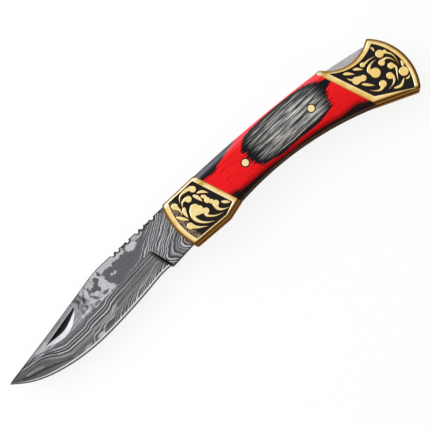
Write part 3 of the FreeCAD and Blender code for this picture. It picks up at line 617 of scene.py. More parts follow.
def bevel_tone(finish, depth, sway, jitter, ruffle):
    """Tone on the bevels. Bold and fine lines run along them and draw together towards the tip,
    and short arcs meet the edge."""
    x, y = finish.x, finish.y
    spread = x.step(*TIP_SPREAD) * 0.58 + 0.42
    rise = (y - finish.line(x, FLOW) + sway * 0.5 + jitter * 0.2) / spread
    rear = x.step(*REAR_LINES)
    fine = finish.threads(rise * 2.0, x * 0.02, 6.0) * (rear * 0.22 + 0.26)
    tone = fine + 0.44 - x.step(*TIP_DIM) * 0.14 - rear * 0.06
    tone = tone + abs(rise - FAINT_LAYER).step(1.0, 0.6) * (1.0 - rear) * 0.14
    share = x.step(*BOLD_REAR) * 0.5 + 0.5 - x.step(*BOLD_TIP)
    for height, half, lighter in BOLD_LAYERS:
        tone = tone + abs(rise - height).step(half * 1.3, half * 0.4) * share * lighter
    lift = ((EDGE_DEPTH - depth) * BEVEL_SLOPE).most(0.0).least(ARC_TOP)
    low = lift.step(3.9, 2.4)
    left = 1.0 - lift / ARC_LIMIT
    arc = x + left.math("LOGARITHM", left, math.e) * ARC_SWEEP
    arcs = finish.threads(arc * 0.52 + jitter * 0.8, lift * 0.1, 8.0) * 1.05 + 0.42
    tone = tone.toward(arcs, low * (arc + jitter * 2.0).step(*ARCS_FROM))
    plain = low * x.step(*STRIP_FROM) * (arc + jitter * 2.0).step(*ARCS_TO)
    tone = tone.toward(0.42 + ruffle * 0.4, plain)
    tone = patched(finish, tone, BEVEL_PATCHES, ruffle * 2.0)
    return lined(finish, tone, x, y + jitter * 0.4, BEVEL_LINES)


def flat_tone(finish, sway, jitter, ruffle):
    """Tone on the flats. Slanting lines turn round below the middle of the ricasso, and clouds,
    lines and patches lie ahead of them, with bands along the spine towards the tip."""
    x, y = finish.x, finish.y
    over_turn = y - TURN_HEIGHT
    slant = (over_turn * over_turn + TURN_SOFT).root() - TURN_SHIFT
    slant = slant - finish.line(x, SLANT) + sway * 2.2 + jitter * 1.3
    slants = finish.threads(slant * 0.80, x * 0.03, 5.0) * 0.62
    slants = slants + finish.threads(slant * 1.9, x * 0.05, 9.0) * 0.22 + 0.42

    curl = finish.texture(0.26, 0.11, 0.0, (2.0, 9.0, 0.0), detail=3.0, bend=0.6)
    clouds = finish.threads(curl * 5.5 + ruffle * 0.5, x * 0.04, 1.0)
    pale = (clouds * 0.16 + ruffle * 0.5 + 0.84).toward(clouds * 0.36 + 0.42, x.step(*CLOUDS_TO))
    along_spine = finish.bands((y - x * CLIP_SLOPE) * 2.2 + jitter, x * 0.03, 4.0) * 0.36 + 0.48
    along_spine = along_spine - x.step(*SPINE_DIM) * 0.2
    pale = pale.toward(along_spine, (x + jitter * 5.0).step(*SPINE_BANDS))
    pale = lined(finish, pale, y + ruffle * 1.5, x + ruffle * 3.2, CROSS_LINES)
    pale = patched(finish, pale, PALE_PATCHES, ruffle * 2.0)

    tatter = finish.texture(0.42, 0.26, 0.0, (6.0, 2.0, 0.0), detail=3.0, rough=0.6, bend=0.8) - 0.5
    dark = patched(finish, 0.30 + ruffle * 0.6, DARK_PATCHES, ruffle * 2.4)
    strip = (y + tatter * 2.6 + ruffle * 2.0).step(*PALE_STRIP_FOOT)
    dark = dark.toward(0.86 + ruffle * 0.3, strip * (x + ruffle * 8.0).step(*PALE_STRIP))
    behind = x - finish.line(y, DARK_EDGE) + tatter * 2.6 + ruffle * 4.0
    plain = pale.toward(dark, behind.step(-0.2, 0.2))
    return slants.toward(plain, slant.step(0.5, 0.7))


def nail_nick(finish, depth, over_spine, speck):
    """Where the nail nick is ground into the bevel, and where it lies in shade."""
    x, y = finish.x, finish.y
    level = finish.level()
    hollow = depth.step(0.012, 0.03) * finish.facing()[1].step(0.0, 0.04) * x.step(*NICK_REAR)
    wall = level.step(0.6, 0.3) * (y - x * CLIP_SLOPE).step(*NICK_WALL_TOP) * y.step(2.0, 2.5)
    wall = wall * x.step(*NICK_WALL_TIP) * x.step(*NICK_WALL_REAR)
    nick = hollow.most(wall) * over_spine.step(-0.3, -0.7) * level.step(0.02, 0.06)
    shade = (y - finish.line(x, NICK_SHADE) + speck * 0.3).step(-0.3, 0.3).most(wall)
    return nick, shade


def layered_steel():
    """Pattern-welded steel with a nail nick and an edge ground bright, painted shade along the plunge,
    on the belly side of the ricasso and along its foot, and painted shade round the file notches."""
    finish = Finish("layered_steel", BLADE_RISE)
    x, y = finish.x, finish.y
    depth = BLADE_HALF - abs(finish.z)
    level = finish.level()
    sway = finish.texture(0.12, 0.22, 0.0, (4.0, 1.0, 0.0), detail=2.0) - 0.5
    jitter = finish.texture(0.55, 0.8, 0.0, (9.0, 5.0, 0.0), detail=3.0, rough=0.6) - 0.5
    ruffle = finish.texture(0.9, 0.9, 0.0, (3.0, 7.0, 0.0), detail=4.0, rough=0.65) - 0.5
    speck = finish.texture(1.6, 3.4, 0.0, detail=3.0, rough=0.65) - 0.5
    tone = flat_tone(finish, sway, jitter, ruffle)
    tone = tone.toward(bevel_tone(finish, depth, sway, jitter, ruffle), depth.step(0.008, 0.03))
    tone = lined(finish, tone, x, y + jitter * 0.5, TIP_LINES)
    over_spine = y - finish.line(x, SPINE)
    tone = tone + speck * 0.34 - over_spine.step(-0.55, -0.2) * 0.5
    etched = finish.ramp(tone, (0.0, STEEL_DARK), (0.45, STEEL_MIDDLE), (0.98, STEEL_LIGHT))

    spine = level.step(0.5, 0.2)
    # Painted shade along the plunge, on ricasso faces that turn towards the belly and along the ricasso's foot.
    plunge = x - PLUNGE_TOP[0] + (y - PLUNGE_TOP[1]) * PLUNGE_LEAN
    plunge_shade = plunge.step(-1.7, 0.5) * plunge.step(1.6, 1.1) * y.step(3.2, 1.6) * depth.step(0.02, 0.08)
    under = finish.facing()[1].step(-0.4, -0.7) * x.step(*RICASSO)
    body = finish.blend(spine, etched, finish.blend(speck + 0.5, SPINE_DARK, SPINE_LIGHT))
    foot_shade = finish.trace(x, y, RICASSO_FOOT, 0.32)
    body = finish.blend(plunge_shade.most(under).most(foot_shade), body, STEEL_SHADE)

    nick, shade = nail_nick(finish, depth, over_spine, speck)
    ground = finish.blend(x.step(*NICK_GREY), STEEL_BRIGHT, STEEL_GREY)
    nicked = finish.blend(nick, body, finish.blend(shade, ground, STEEL_BLACK))
    shoulder = depth.step(*EDGE_SHOULDER) * (1.0 - spine) * y.step(4.0, 2.0)
    edged = finish.blend(shoulder, nicked, EDGE_BRIGHT)
    honed = finish.blend(shoulder * depth.step(*EDGE_HONED), edged, EDGE_GREY)
    # Painted shade in rings round the file notches.
    colour = finish.blend(filed_notch_shade(finish) * 0.9, honed, NOTCH_SHADE)
    bright = nick.most(shoulder)
    return finish.coat_with(
        base_color=colour,
        metallic=1.0,
        roughness=(0.50 - tone * 0.14).toward(0.27, bright),
        normal=finish.bump(speck, 0.03, 0.3),
    )


def ground_steel():
    """Plain steel with the fine lines of a grinding belt along its length."""
    finish = Finish("ground_steel")
    belt = finish.texture(0.35, 9.0, 3.0, detail=4.0, rough=0.7)
    cloud = finish.texture(0.3, 0.5, detail=3.0, rough=0.6)
    tone = belt * 0.6 + cloud * 0.4
    colour = finish.ramp(tone, (0.3, BELT_DARK), (0.7, BELT_LIGHT))
    return finish.coat_with(
        base_color=colour,
        metallic=1.0,
        roughness=belt * 0.2 + 0.25,
        normal=finish.bump(belt, 0.02, 0.4),
    )


RED = (0.88, 0.014, 0.017)
RED_DEEP = (0.58, 0.003, 0.004)
RED_DARK = (0.26, 0.004, 0.004)
RED_SHEEN = (0.84, 0.085, 0.115)
BLACK = (0.008, 0.008, 0.009)
BLACK_BELLY = (0.026, 0.008, 0.006)
BLACK_SHEEN = (0.115, 0.122, 0.150)
GREY = (0.46, 0.46, 0.475)
GREY_PALE = (0.90, 0.85, 0.76)
PIN_SHADOW = (0.006, 0.004, 0.004)

# Lines that part the wood's colours, as (x, y) pairs: the top and bottom of the black eye with its
# grey core, and the edges of the black along the back and the belly.
EYE_TOP = [
    (25.8, 3.2), (26.6, 6.8), (28.5, 9.0), (31.5, 10.4), (36.0, 11.0), (45.0, 10.9),
    (52.0, 10.5), (60.0, 9.5), (64.0, 8.4), (67.0, 6.8), (70.0, 5.3), (74.0, 4.6),
]
EYE_BOTTOM = [
    (25.8, 3.2), (26.6, 0.4), (28.2, -2.6), (31.0, -3.8), (35.0, -4.8), (40.0, -5.3), (50.0, -5.8),
    (56.0, -6.3), (60.0, -6.0), (64.5, -5.0), (65.8, -3.2), (67.0, -0.6), (68.5, 1.6), (70.0, 2.4),
    (74.0, 2.8),
]
BACK_BLACK = [
    (4.0, 9.0), (9.0, 8.9), (11.0, 8.4), (13.0, 8.5), (14.8, 9.5), (18.0, 9.9), (20.5, 10.7),
    (25.0, 11.6), (30.0, 12.6), (80.0, 14.0),
]
BELLY_BLACK = [
    (9.0, -3.2), (14.0, -3.7), (15.6, -4.6), (20.0, -5.0), (29.0, -5.5), (40.0, -6.6),
    (50.0, -7.6), (60.0, -9.3), (66.0, -10.7), (72.0, -11.0), (75.0, -12.4), (79.0, -14.6),
]

# Ranges of x over which the eye starts, its core starts and ends, and the dark red under the black
# of the back ends.
EYE_FROM = (25.4, 26.0)
CORE_FROM = (28.0, 34.5)
CORE_TO = (68.5, 57.0)
DARK_RED_TO = (17.0, 13.0)


def red_dye(finish, grain, fine, ragged, over_back, over_belly):
    """Red wood with deeper grain and dark scratches. It darkens towards the black of the belly and
    at the front of the back, and has a paler painted sheen on the rounding of the back."""
    red = finish.blend(grain.step(0.22, 0.50), RED_DEEP, RED)
    red = finish.blend(fine.step(0.34, 0.58), finish.blend(0.5, red, RED_DEEP), red)
    scratch = finish.texture(0.17, 3.4, 1.5, (8.0, 1.0, 0.0), detail=3.0, rough=0.6)
    red = finish.blend(scratch.step(0.56, 0.67) * 0.65, red, RED_DARK)
    red = finish.blend(finish.y.step(2.0, -8.0) * 0.4, red, RED_DEEP)
    red = finish.blend((over_belly + ragged * 0.3).step(2.2, 0.2) * 0.9, red, RED_DARK)
    red = finish.blend(over_back.step(-1.2, -0.2) * finish.x.step(*DARK_RED_TO) * 0.8, red, RED_DARK)
    backward = finish.facing()[1]
    # Painted sheen: the red turns paler on the rounding of the back, but not on its wall.
    return finish.blend(backward.step(0.05, 0.45) * backward.step(0.90, 0.60) * 0.5, red, RED_SHEEN)


def grey_fibres(finish, fine, core):
    """Black wood with grey fibres in its core, parted by dark lines along the handle."""
    cloud = finish.texture(0.14, 0.55, 0.4, (5.0, 2.0, 0.0), detail=2.0)
    thread = finish.texture(0.03, 1.0, 0.4, (1.0, 4.0, 0.0), detail=2.0, rough=0.55)
    split = abs(thread - 0.5).step(0.015, 0.11)
    fibre = finish.texture(0.07, 3.2, 1.0, (7.0, 3.0, 0.0), detail=3.0, rough=0.65)
    streak = (fibre * 0.55 + fine * 0.45).step(0.39, 0.56) * 0.86 + 0.14
    streak = streak * (split * 0.92 + 0.08) * (cloud.step(0.25, 0.55) * 0.5 + 0.5) * core
    pale = finish.blend((cloud * 0.6 + fine * 0.4).step(0.36, 0.66), GREY, GREY_PALE)
    return finish.blend(streak, BLACK, pale)


def dyed_wood():
    """Laminated wood dyed red, black and grey under a gloss finish. Drawn lines part the colours,
    and grain along the handle makes their edges ragged."""
    finish = Finish("dyed_wood")
    x, y = finish.x, finish.y
    backward = finish.facing()[1]
    grain = finish.texture(0.10, 1.5, 0.8, detail=4.0, rough=0.62)
    fine = finish.texture(0.22, 5.5, 3.0, detail=4.0, rough=0.7)
    ragged = (grain - 0.5) * 3.2 + (fine - 0.5) * 1.2
    wavy_x = x + ragged * 1.3
    torn = finish.texture(0.09, 1.9, 0.8, (3.0, 6.0, 0.0), detail=3.0, rough=0.6) - 0.5
    torn_x = x + torn * 9.0 + (fine - 0.5) * 2.5
    inside = (finish.line(torn_x, EYE_TOP) - y).least(y - finish.line(torn_x, EYE_BOTTOM))
    eye = (inside + ragged * 0.25).step(-0.12, 0.12) * torn_x.step(*EYE_FROM)
    core = (inside + ragged * 0.7).step(0.8, 2.4) * (x + ragged * 2.0).step(*CORE_FROM)
    core = core * (x + ragged * 2.5).step(*CORE_TO)
    over_back = y - finish.line(wavy_x, BACK_BLACK) + ragged * 0.12
    back = over_back.step(-0.3, 0.0)
    over_belly = y - finish.line(wavy_x, BELLY_BLACK)
    belly = (ragged * 0.12 - over_belly).step(-0.12, 0.15)
    red = red_dye(finish, grain, fine, ragged, over_back, over_belly)
    dyed = finish.blend(eye, red, grey_fibres(finish, fine, core))
    # Painted sheen on the black along the rounding of the back, broken up by the grain.
    wear_and_sheen = backward.step(0.12, 0.52) * backward.step(0.85, 0.55) * (grain.step(0.25, 0.55) * 0.5 + 0.5)
    dyed = finish.blend(back, dyed, finish.blend(wear_and_sheen, BLACK, BLACK_SHEEN))
    dyed = finish.blend(belly, dyed, finish.blend(fine.step(0.40, 0.60), BLACK, BLACK_BELLY))
    for pin in SCALE_PINS:
        shadow = finish.reach(*pin).step(PIN_RADIUS + 0.40, PIN_RADIUS + 0.25)
        dyed = finish.blend(shadow, dyed, PIN_SHADOW)
    return finish.coat_with(
        base_color=dyed,
        roughness=fine * 0.16 + 0.26,
        specular_ior_level=0.0,
        coat_weight=backward.step(0.03, 0.25) * 0.80 + 0.06,
        coat_roughness=0.12,
        normal=finish.bump(fine, 0.03, 0.25),
    )


# Borders, grips and engraved panels


# Points along a tail or leaf.
STROKE_POINTS = 14


def smooth(low, high, value):
    """0 below low, 1 above high and a smooth rise between them."""
    share = np.clip((value - low) / (high - low), 0.0, 1.0)
    return share * share * (3.0 - 2.0 * share)


def curved(points, count):
    """A smooth line through some points: each run is a cubic whose ends point along the line
    between the neighbours of its end points."""
    points = np.asarray(points, float)
    if len(points) == 2:
        return points[0] + np.linspace(0.0, 1.0, count)[:, None] * (points[1] - points[0])
    padded = np.vstack([2 * points[0] - points[1], points, 2 * points[-1] - points[-2]])
    place = np.linspace(0.0, len(points) - 1.0, count)
    run = np.minimum(place.astype(int), len(points) - 2)
    t = (place - run)[:, None]
    a, b, c, e = (padded[run + k] for k in range(4))
    return 0.5 * (2 * b + (c - a) * t + (2 * a - 5 * b + 4 * c - e) * t**2 + (3 * b - a - 3 * c + e) * t**3)


def ball(x, y, radius):
    """A single disc."""
    return np.array([[x, y, radius]])


def tail(points, width, tip=0.12):
    """A tail that leaves a ball: a smooth line whose half width falls evenly to its tip."""
    path = curved(points, STROKE_POINTS)
    return np.column_stack([path, np.linspace(width, tip, len(path))])


def leaf(points, width):
    """A leaf, pointed at both ends and fullest a third of the way along."""
    path = curved(points, STROKE_POINTS)
    share = np.linspace(0.0, 1.0, len(path))
    return np.column_stack([path, width * np.sin(math.pi * share**0.75) ** 0.8 + 0.08])


# Each stroke is a row of discs (x, y, radius) joined by straight-sided runs.
FRONT_STROKES = [
    ball(-8.6, 8.75, 1.45), tail([(-8.4, 7.8), (-8.1, 6.2), (-8.6, 4.0)], 0.95),
    ball(1.5, 9.0, 1.45), tail([(1.2, 9.9), (-1.5, 10.55), (-4.3, 10.3), (-6.2, 8.3)], 0.95),
    ball(-2.5, 7.2, 1.45), tail([(-2.9, 7.9), (-5.0, 7.95), (-6.7, 6.2)], 0.8),
    leaf([(-0.1, 7.0), (0.7, 5.2), (1.1, 2.6)], 0.8),
    leaf([(1.7, 6.7), (3.6, 5.7), (5.2, 3.6)], 0.6),
    leaf([(-11.0, 5.2), (-9.6, 3.0), (-7.9, 0.7)], 0.75),
    leaf([(-6.0, 5.9), (-7.2, 4.4), (-7.6, 1.6)], 0.85),
    ball(-3.2, 2.6, 2.1), ball(-1.9, 1.2, 1.6), ball(-4.3, 1.4, 1.5), ball(-3.0, 0.8, 1.5),
    ball(-1.7, 0.0, 1.3), ball(-0.4, -1.1, 1.4),
    tail([(-4.6, 2.6), (-5.9, 0.4), (-5.4, -2.2), (-3.4, -4.7), (-0.6, -6.5)], 1.25),
    tail([(-0.7, -1.5), (-1.4, -2.7), (0.9, -5.0), (4.3, -6.4)], 0.9),
    ball(-9.2, -1.3, 1.5), tail([(-8.6, -2.0), (-7.2, -3.8), (-4.0, -6.2)], 1.0),
    leaf([(2.2, 4.6), (2.9, 3.4), (3.4, 2.0)], 0.8),
    ball(2.8, 1.7, 1.3), ball(3.7, 0.2, 1.1), ball(4.6, -1.5, 1.4),
    tail([(3.9, -1.8), (3.7, -3.7), (5.0, -5.3), (7.3, -6.3)], 1.05),
    leaf([(6.6, -2.6), (7.8, -3.9), (9.2, -5.2)], 0.65),
]
REAR_STROKES = [
    leaf([(77.0, 1.5), (78.6, 0.2), (80.4, -1.8)], 0.65),
    leaf([(81.1, 0.1), (82.6, -1.0), (84.1, -2.7)], 0.6),
    leaf([(79.7, -6.6), (81.2, -8.4), (83.2, -10.6)], 0.6),
    leaf([(92.4, 1.7), (92.6, 0.7), (92.2, -0.4)], 0.45),
    ball(85.2, -1.1, 1.1), tail([(86.0, -1.3), (88.4, -1.3), (91.0, -1.9)], 0.6),
    ball(79.1, -4.1, 1.75), ball(80.5, -4.6, 1.4), ball(81.8, -5.2, 1.4),
    tail([(78.4, -3.3), (77.4, -2.0), (76.9, -0.7)], 0.7),
    ball(86.8, -7.0, 2.15),
    tail([(86.0, -6.2), (85.5, -4.8), (86.5, -3.6), (88.4, -3.0), (90.5, -3.2)], 1.25),
    ball(91.4, -5.7, 1.4), tail([(92.4, -5.2), (94.0, -5.6), (95.2, -7.0), (95.7, -9.1)], 0.65),
    ball(93.2, -2.5, 1.75), ball(95.2, -3.2, 0.95),
    tail([(95.2, -3.6), (96.4, -5.4), (96.7, -7.6), (95.9, -11.0)], 0.55),
    ball(93.2, -9.1, 1.4), tail([(94.0, -9.9), (94.2, -11.2), (92.8, -13.2), (91.2, -15.4)], 0.75),
    ball(90.2, -11.8, 1.5), tail([(90.9, -12.7), (90.4, -14.1), (88.9, -15.1), (86.1, -15.5)], 0.75),
    ball(85.9, -12.3, 1.6), tail([(85.0, -13.2), (83.6, -13.4), (82.0, -12.5), (80.3, -10.6)], 0.75),
    ball(95.4, -14.3, 2.0), leaf([(96.6, -12.6), (97.2, -11.6), (97.5, -10.2)], 0.55),
    leaf([(93.8, -17.0), (95.0, -17.4), (96.3, -16.9)], 0.4),
    leaf([(87.8, -16.6), (90.8, -17.7), (93.9, -16.2)], 0.6),
]

# Scroll sheets, in millimetres: the spacing of their grid, how much wider than drawn the strokes are,
# the height, soft edge and dome of the scrolls, the ground's lift and punch marks, how far a sheet
# reaches beyond its panel and how deep a panel is sunk at least.
GRID = 0.12
LEAF_GROWTH = 0.11
LEAF_HEIGHT = 0.30
LEAF_EDGE = 0.26
LEAF_DOME = 0.18
DOME_REACH = 0.5
GROUND_LIFT = 0.03
PUNCH_HEIGHT = 0.035
PANEL_LAP = 0.3
PANEL_SUNK = 0.1

# Borders and grips: the slope along the rim, the round along the panel, the crown, the quarter oval
# of a grip, how far its level face lies under the scale's and how many columns it has.
RIM_WIDE = 1.15
RIM_DROP = 0.85
RIM_SOFT = 0.12
LIP_ROUND = 0.32
BORDER_CROWN = 0.10
GRIP_ROUND = 3.6
GRIP_DEEP = 2.4
GRIP_SINK = 0.03
GRIP_COLUMNS = 180

# Covers closer than a seam touch, and outlines are divided into steps. Level triangles keep this
# share of their area when seen from above, and faces under the least area are left out. Outlines
# have corners and surfaces have creases where they turn by more than some angles.
SEAM = 0.05
SIDE_STEP = 0.3
LEVEL_SHARE = 0.9995
LEAST_AREA = 1e-9
CORNER_TURN = math.radians(20.0)
CREASE = math.radians(35.0)

# Rows across a border from its panel to its rim, and across a grip from one side to its middle.
BORDER_ROWS = np.array([
    0.0, 0.025, 0.06, 0.10, 0.15, 0.21, 0.28, 0.36, 0.45, 0.53,
    0.60, 0.66, 0.72, 0.78, 0.84, 0.89, 0.93, 0.965, 0.988, 1.0,
])
GRIP_ROWS = np.array([0.0, 0.002, 0.006, 0.013, 0.022, 0.034, 0.048, 0.065, 0.085, 0.11, 0.15, 0.28, 0.42])


def level_triangles(node, facing):
    """Level triangles of a solid that face up or down, in drawn millimetres, with their areas."""
    mesh = frame["nodes"][node].data
    mesh.calc_loop_triangles()
    points = np.empty(len(mesh.vertices) * 3)
    mesh.vertices.foreach_get("co", points)
    corners = np.empty(len(mesh.loop_triangles) * 3, dtype=np.int32)
    mesh.loop_triangles.foreach_get("vertices", corners)
    triangles = (points.reshape(-1, 3)[corners.reshape(-1, 3)] - DATUM) / MM
    crosses = np.cross(triangles[:, 1] - triangles[:, 0], triangles[:, 2] - triangles[:, 0])
    areas = np.linalg.norm(crosses, axis=1) / 2.0
    level = (crosses[:, 2] * facing > areas * 2.0 * LEVEL_SHARE) & (areas > LEAST_AREA)
    return triangles[level], areas[level]


def largest_level(triangles, areas):
    """Height that holds the most area among level triangles, and its triangles seen from above."""
    heights = np.round(triangles[:, :, 2].mean(axis=1), 3)
    found = max(np.unique(heights), key=lambda height: areas[heights == height].sum())
    return found, triangles[heights == found][:, :, :2]


def ring(triangles):
    """The longest ring of sides that belong to only one of some triangles, anticlockwise."""
    runs = triangles[:, 1:] - triangles[:, :1]
    turned = runs[:, 0, 0] * runs[:, 1, 1] < runs[:, 0, 1] * runs[:, 1, 0]
    triangles = np.where(turned[:, None, None], triangles[:, ::-1], triangles)
    points, index = np.unique(np.round(triangles.reshape(-1, 2), 3), axis=0, return_inverse=True)
    index = index.reshape(-1, 3)
    sides = np.concatenate([index[:, [0, 1]], index[:, [1, 2]], index[:, [2, 0]]])
    inner = set(map(tuple, sides[:, ::-1].tolist()))
    follows = dict(side for side in sides.tolist() if tuple(side) not in inner)
    rings = []
    while follows:
        chain = [next(iter(follows))]
        while chain[-1] in follows:
            chain.append(follows.pop(chain[-1]))
        rings.append(points[chain[:-1]])
    return max(rings, key=lambda found: np.ptp(found, axis=0).sum())


def distance(points, starts, ends):
    """Distance from each point to the nearest of some straight sides."""
    runs = ends - starts
    reaches = points[:, None] - starts
    along = (reaches * runs).sum(axis=2) / (runs * runs).sum(axis=1)
    away = reaches - np.clip(along, 0.0, 1.0)[:, :, None] * runs
    return np.hypot(away[:, :, 0], away[:, :, 1]).min(axis=1)


def following(outline):
    """What comes after each corner of a closed outline."""
    return np.roll(outline, -1, axis=0)


def side_middles(outline):
    """The middle of each side of a closed outline."""
    return (outline + following(outline)) / 2.0


def outline_distance(points, outline):
    """Distance from each point to a closed outline."""
    return distance(points, outline, following(outline))


def joint_sides(outline, neighbours):
    """Which sides of an outline lie along one of the neighbouring covers: both ends and the middle
    of such a side touch it."""
    touching, beside = (
        np.any([outline_distance(points, neighbour) < SEAM for neighbour in neighbours], axis=0)
        for points in (outline, side_middles(outline))
    )
    return touching & following(touching) & beside


def rounding(inward, radius):
    """Drop of a quarter round at some distance in from its edge."""
    left = radius - np.clip(inward, 0.0, radius)
    return radius - np.sqrt(radius**2 - left**2)


def bevelled(inward):
    """Drop of a sloping rim at some distance in from its edge: it falls evenly to the edge, and
    the root of a sum of squares softens the crease at its top."""
    fall = RIM_DROP * (1.0 - inward / RIM_WIDE)
    return (fall + np.sqrt(fall**2 + RIM_SOFT**2)) / 2.0 - RIM_SOFT**2 / (4.0 * RIM_DROP)


def closed_path(outline):
    """A closed outline as a path that comes back to its start."""
    return np.vstack([outline, outline[:1]])


def lengths_along(path):
    """Length along a path up to each of its points."""
    return np.concatenate([[0.0], np.cumsum(np.hypot(*np.diff(path, axis=0).T))])


def points_along(path, places):
    """Points at some lengths along a path."""
    along = lengths_along(path)
    return np.column_stack([np.interp(places, along, path[:, axis]) for axis in range(2)])


def resampled(path):
    """Points at even lengths along a path, one for each column of a grip."""
    return points_along(path, np.linspace(0.0, lengths_along(path)[-1], GRIP_COLUMNS))


def sharp_corners(outline):
    """Which corners of an outline turn sharply, and the outward direction at each."""
    before = outline - np.roll(outline, 1, axis=0)
    after = following(outline) - outline
    before, after = (run / np.hypot(*run.T)[:, None] for run in (before, after))
    turn = before[:, 0] * after[:, 1] - before[:, 1] * after[:, 0]
    sharp = np.flatnonzero(turn > math.sin(CORNER_TURN))
    return sharp, (before - after)[sharp]


def ray_places(path, starts, ways):
    """Lengths along a closed path at which rays from some points first meet it."""
    runs = np.diff(path, axis=0)
    reach = path[:-1] - starts[:, None]
    ways = ways[:, None]
    slope = ways[..., 0] * runs[:, 1] - ways[..., 1] * runs[:, 0]
    ahead = (reach[..., 0] * runs[:, 1] - reach[..., 1] * runs[:, 0]) / slope
    share = (reach[..., 0] * ways[..., 1] - reach[..., 1] * ways[..., 0]) / slope
    ahead = np.where((ahead > 0.0) & (share >= 0.0) & (share <= 1.0), ahead, np.inf)
    side = ahead.argmin(axis=1)
    along = lengths_along(path)
    return along[side] + share[np.arange(len(side)), side] * (along[side + 1] - along[side])


def matched_outlines(inner, outer):
    """Points along two outlines, one inside the other. The corners of the inner one are joined to
    the outer one straight outwards, and the sides between them are divided alike."""
    sharp, ways = sharp_corners(inner)
    paths = [closed_path(inner), closed_path(outer)]
    marks = [lengths_along(paths[0])[sharp], ray_places(paths[1], inner[sharp], ways)]
    rounds = [lengths_along(path)[-1] for path in paths]
    spans = [(following(mark) - mark) % whole for mark, whole in zip(marks, rounds)]
    counts = np.ceil(np.maximum(*spans) / SIDE_STEP).astype(int)
    shares = [np.linspace(0.0, 1.0, count, endpoint=False) for count in counts]
    matched = []
    for path, whole, mark, lengths in zip(paths, rounds, marks, spans):
        places = [start + share * span for start, span, share in zip(mark, lengths, shares)]
        matched.append(points_along(path, np.concatenate(places) % whole))
    return matched


def grid_faces(rows, columns, closed):
    """Four-sided faces between the rows of a grid, whose columns may join up in a ring."""
    index = np.arange(rows * columns).reshape(rows, columns)
    beside = np.roll(index, -1, axis=1) if closed else index[:, 1:]
    index = index if closed else index[:, :-1]
    return np.stack([index[:-1], index[1:], beside[1:], beside[:-1]], axis=-1).reshape(-1, 4)


def base_outline(node, side):
    """Height and outline of the face that a cover turns to its liner."""
    height, faces = largest_level(*level_triangles(node, -side))
    return height, ring(faces)


def panel_floor(node, side):
    """Heights of a bolster's border and of its sunk panel, and the triangles of that panel."""
    triangles, areas = level_triangles(node, side)
    heights = triangles[:, :, 2].max(axis=1) * side
    border = heights.max()
    sunk = heights < border - PANEL_SUNK
    floor, faces = largest_level(triangles[sunk], areas[sunk])
    return border * side, floor, faces


def bolster_frame(node, side, neighbours, finish):
    """The plain border and outer walls of a bolster. Straight lines cross the border from the
    panel's outline to the bolster's, and back under it. The height along them is the border's,
    less a low crown, a small round along the panel and a slope along the rim, except at the
    joints."""
    border, floor, faces = panel_floor(node, side)
    base, outer = base_outline(node, side)
    inner = ring(faces)
    near, far = matched_outlines(inner, outer)
    flat = (near + (far - near) * BORDER_ROWS[:, None, None]).reshape(-1, 2)
    joint = joint_sides(outer, neighbours)
    rim = distance(flat, outer[~joint], following(outer)[~joint])
    lip = outline_distance(flat, inner)
    crown = BORDER_CROWN * (2.0 * np.repeat(BORDER_ROWS, len(near)) - 1.0) ** 2
    drop = np.maximum(bevelled(rim), 0.0) + rounding(lip, LIP_ROUND) + crown
    top = np.column_stack([flat, border - drop * side]).reshape(len(BORDER_ROWS), -1, 3)
    inside, outside, under = top[:1].copy(), top[-1:].copy(), top[:1].copy()
    inside[:, :, 2] = floor
    outside[:, :, 2] = under[:, :, 2] = base
    points = np.concatenate([inside, top, outside, under]).reshape(-1, 3)
    faces = grid_faces(len(BORDER_ROWS) + 4, len(near), closed=True) % len(points)
    rows = np.concatenate([[0.0], BORDER_ROWS, [1.0, 0.0]]) + RIM_START
    shares = {"rim": np.repeat(rows, len(near))}
    return add_piece(f"{node}_border", points, faces, side, finish, node, shares)


def wooden_grip(node, side, neighbours, finish):
    """A grip between the bolsters. Lines across it join the same shares of its belly and back,
    and its level face falls to each of them in a quarter of an oval. Its underside is flat."""
    triangles, _ = level_triangles(node, side)
    base, outline = base_outline(node, side)
    border = (triangles[:, :, 2] * side).max() * side
    joint = joint_sides(outline, neighbours)
    middles = side_middles(outline)
    front, rear = sorted(np.flatnonzero(joint), key=lambda place: middles[place, 0])
    turned = np.roll(outline, -(front + 1), axis=0)
    split = (rear - front - 1) % len(outline) + 1
    edges = [resampled(turned[:split]), resampled(turned[split:][::-1])]
    share = np.concatenate([GRIP_ROWS, [0.5], 1.0 - GRIP_ROWS[::-1]])[:, None, None]
    flat = edges[0] * (1.0 - share) + edges[1] * share
    starts = np.concatenate([edge[:-1] for edge in edges])
    ends = np.concatenate([edge[1:] for edge in edges])
    inward = distance(flat.reshape(-1, 2), starts, ends).reshape(flat.shape[:2])
    height = border - (GRIP_SINK + rounding(inward, GRIP_ROUND) * GRIP_DEEP / GRIP_ROUND) * side
    top = np.concatenate([flat, height[:, :, None]], axis=-1)
    walled = np.concatenate([top[:1], top, top[-1:]])
    walled[[0, -1], :, 2] = base
    walled = np.concatenate([walled[:, :1], walled, walled[:, -1:]], axis=1)
    walled[:, [0, -1], 2] = base
    under = np.concatenate([flat, np.full_like(height, base)[:, :, None]], axis=-1)
    faces = grid_faces(*walled.shape[:2], closed=False)[:, ::-1]
    turned_over = grid_faces(*under.shape[:2], closed=False) + walled.size // 3
    points = np.concatenate([walled.reshape(-1, 3), under.reshape(-1, 3)])
    faces = np.concatenate([faces, turned_over])
    return add_piece(f"{node}_grip", points, faces, side, finish, replaces=node)


def near_triangles(x, y, triangles, reach):
    """Whether each grid point lies in any of some triangles or within a reach of their outline."""
    found = np.zeros(x.shape, bool)
    for corners in triangles:
        runs = following(corners) - corners
        across = [run[0] * (y - at[1]) - run[1] * (x - at[0]) for at, run in zip(corners, runs)]
        found |= np.all(np.greater_equal(across, 0.0), axis=0) | np.all(np.less_equal(across, 0.0), axis=0)
    outline = ring(triangles)
    points = np.column_stack([x.ravel(), y.ravel()])
    return found | (outline_distance(points, outline) < reach).reshape(x.shape)


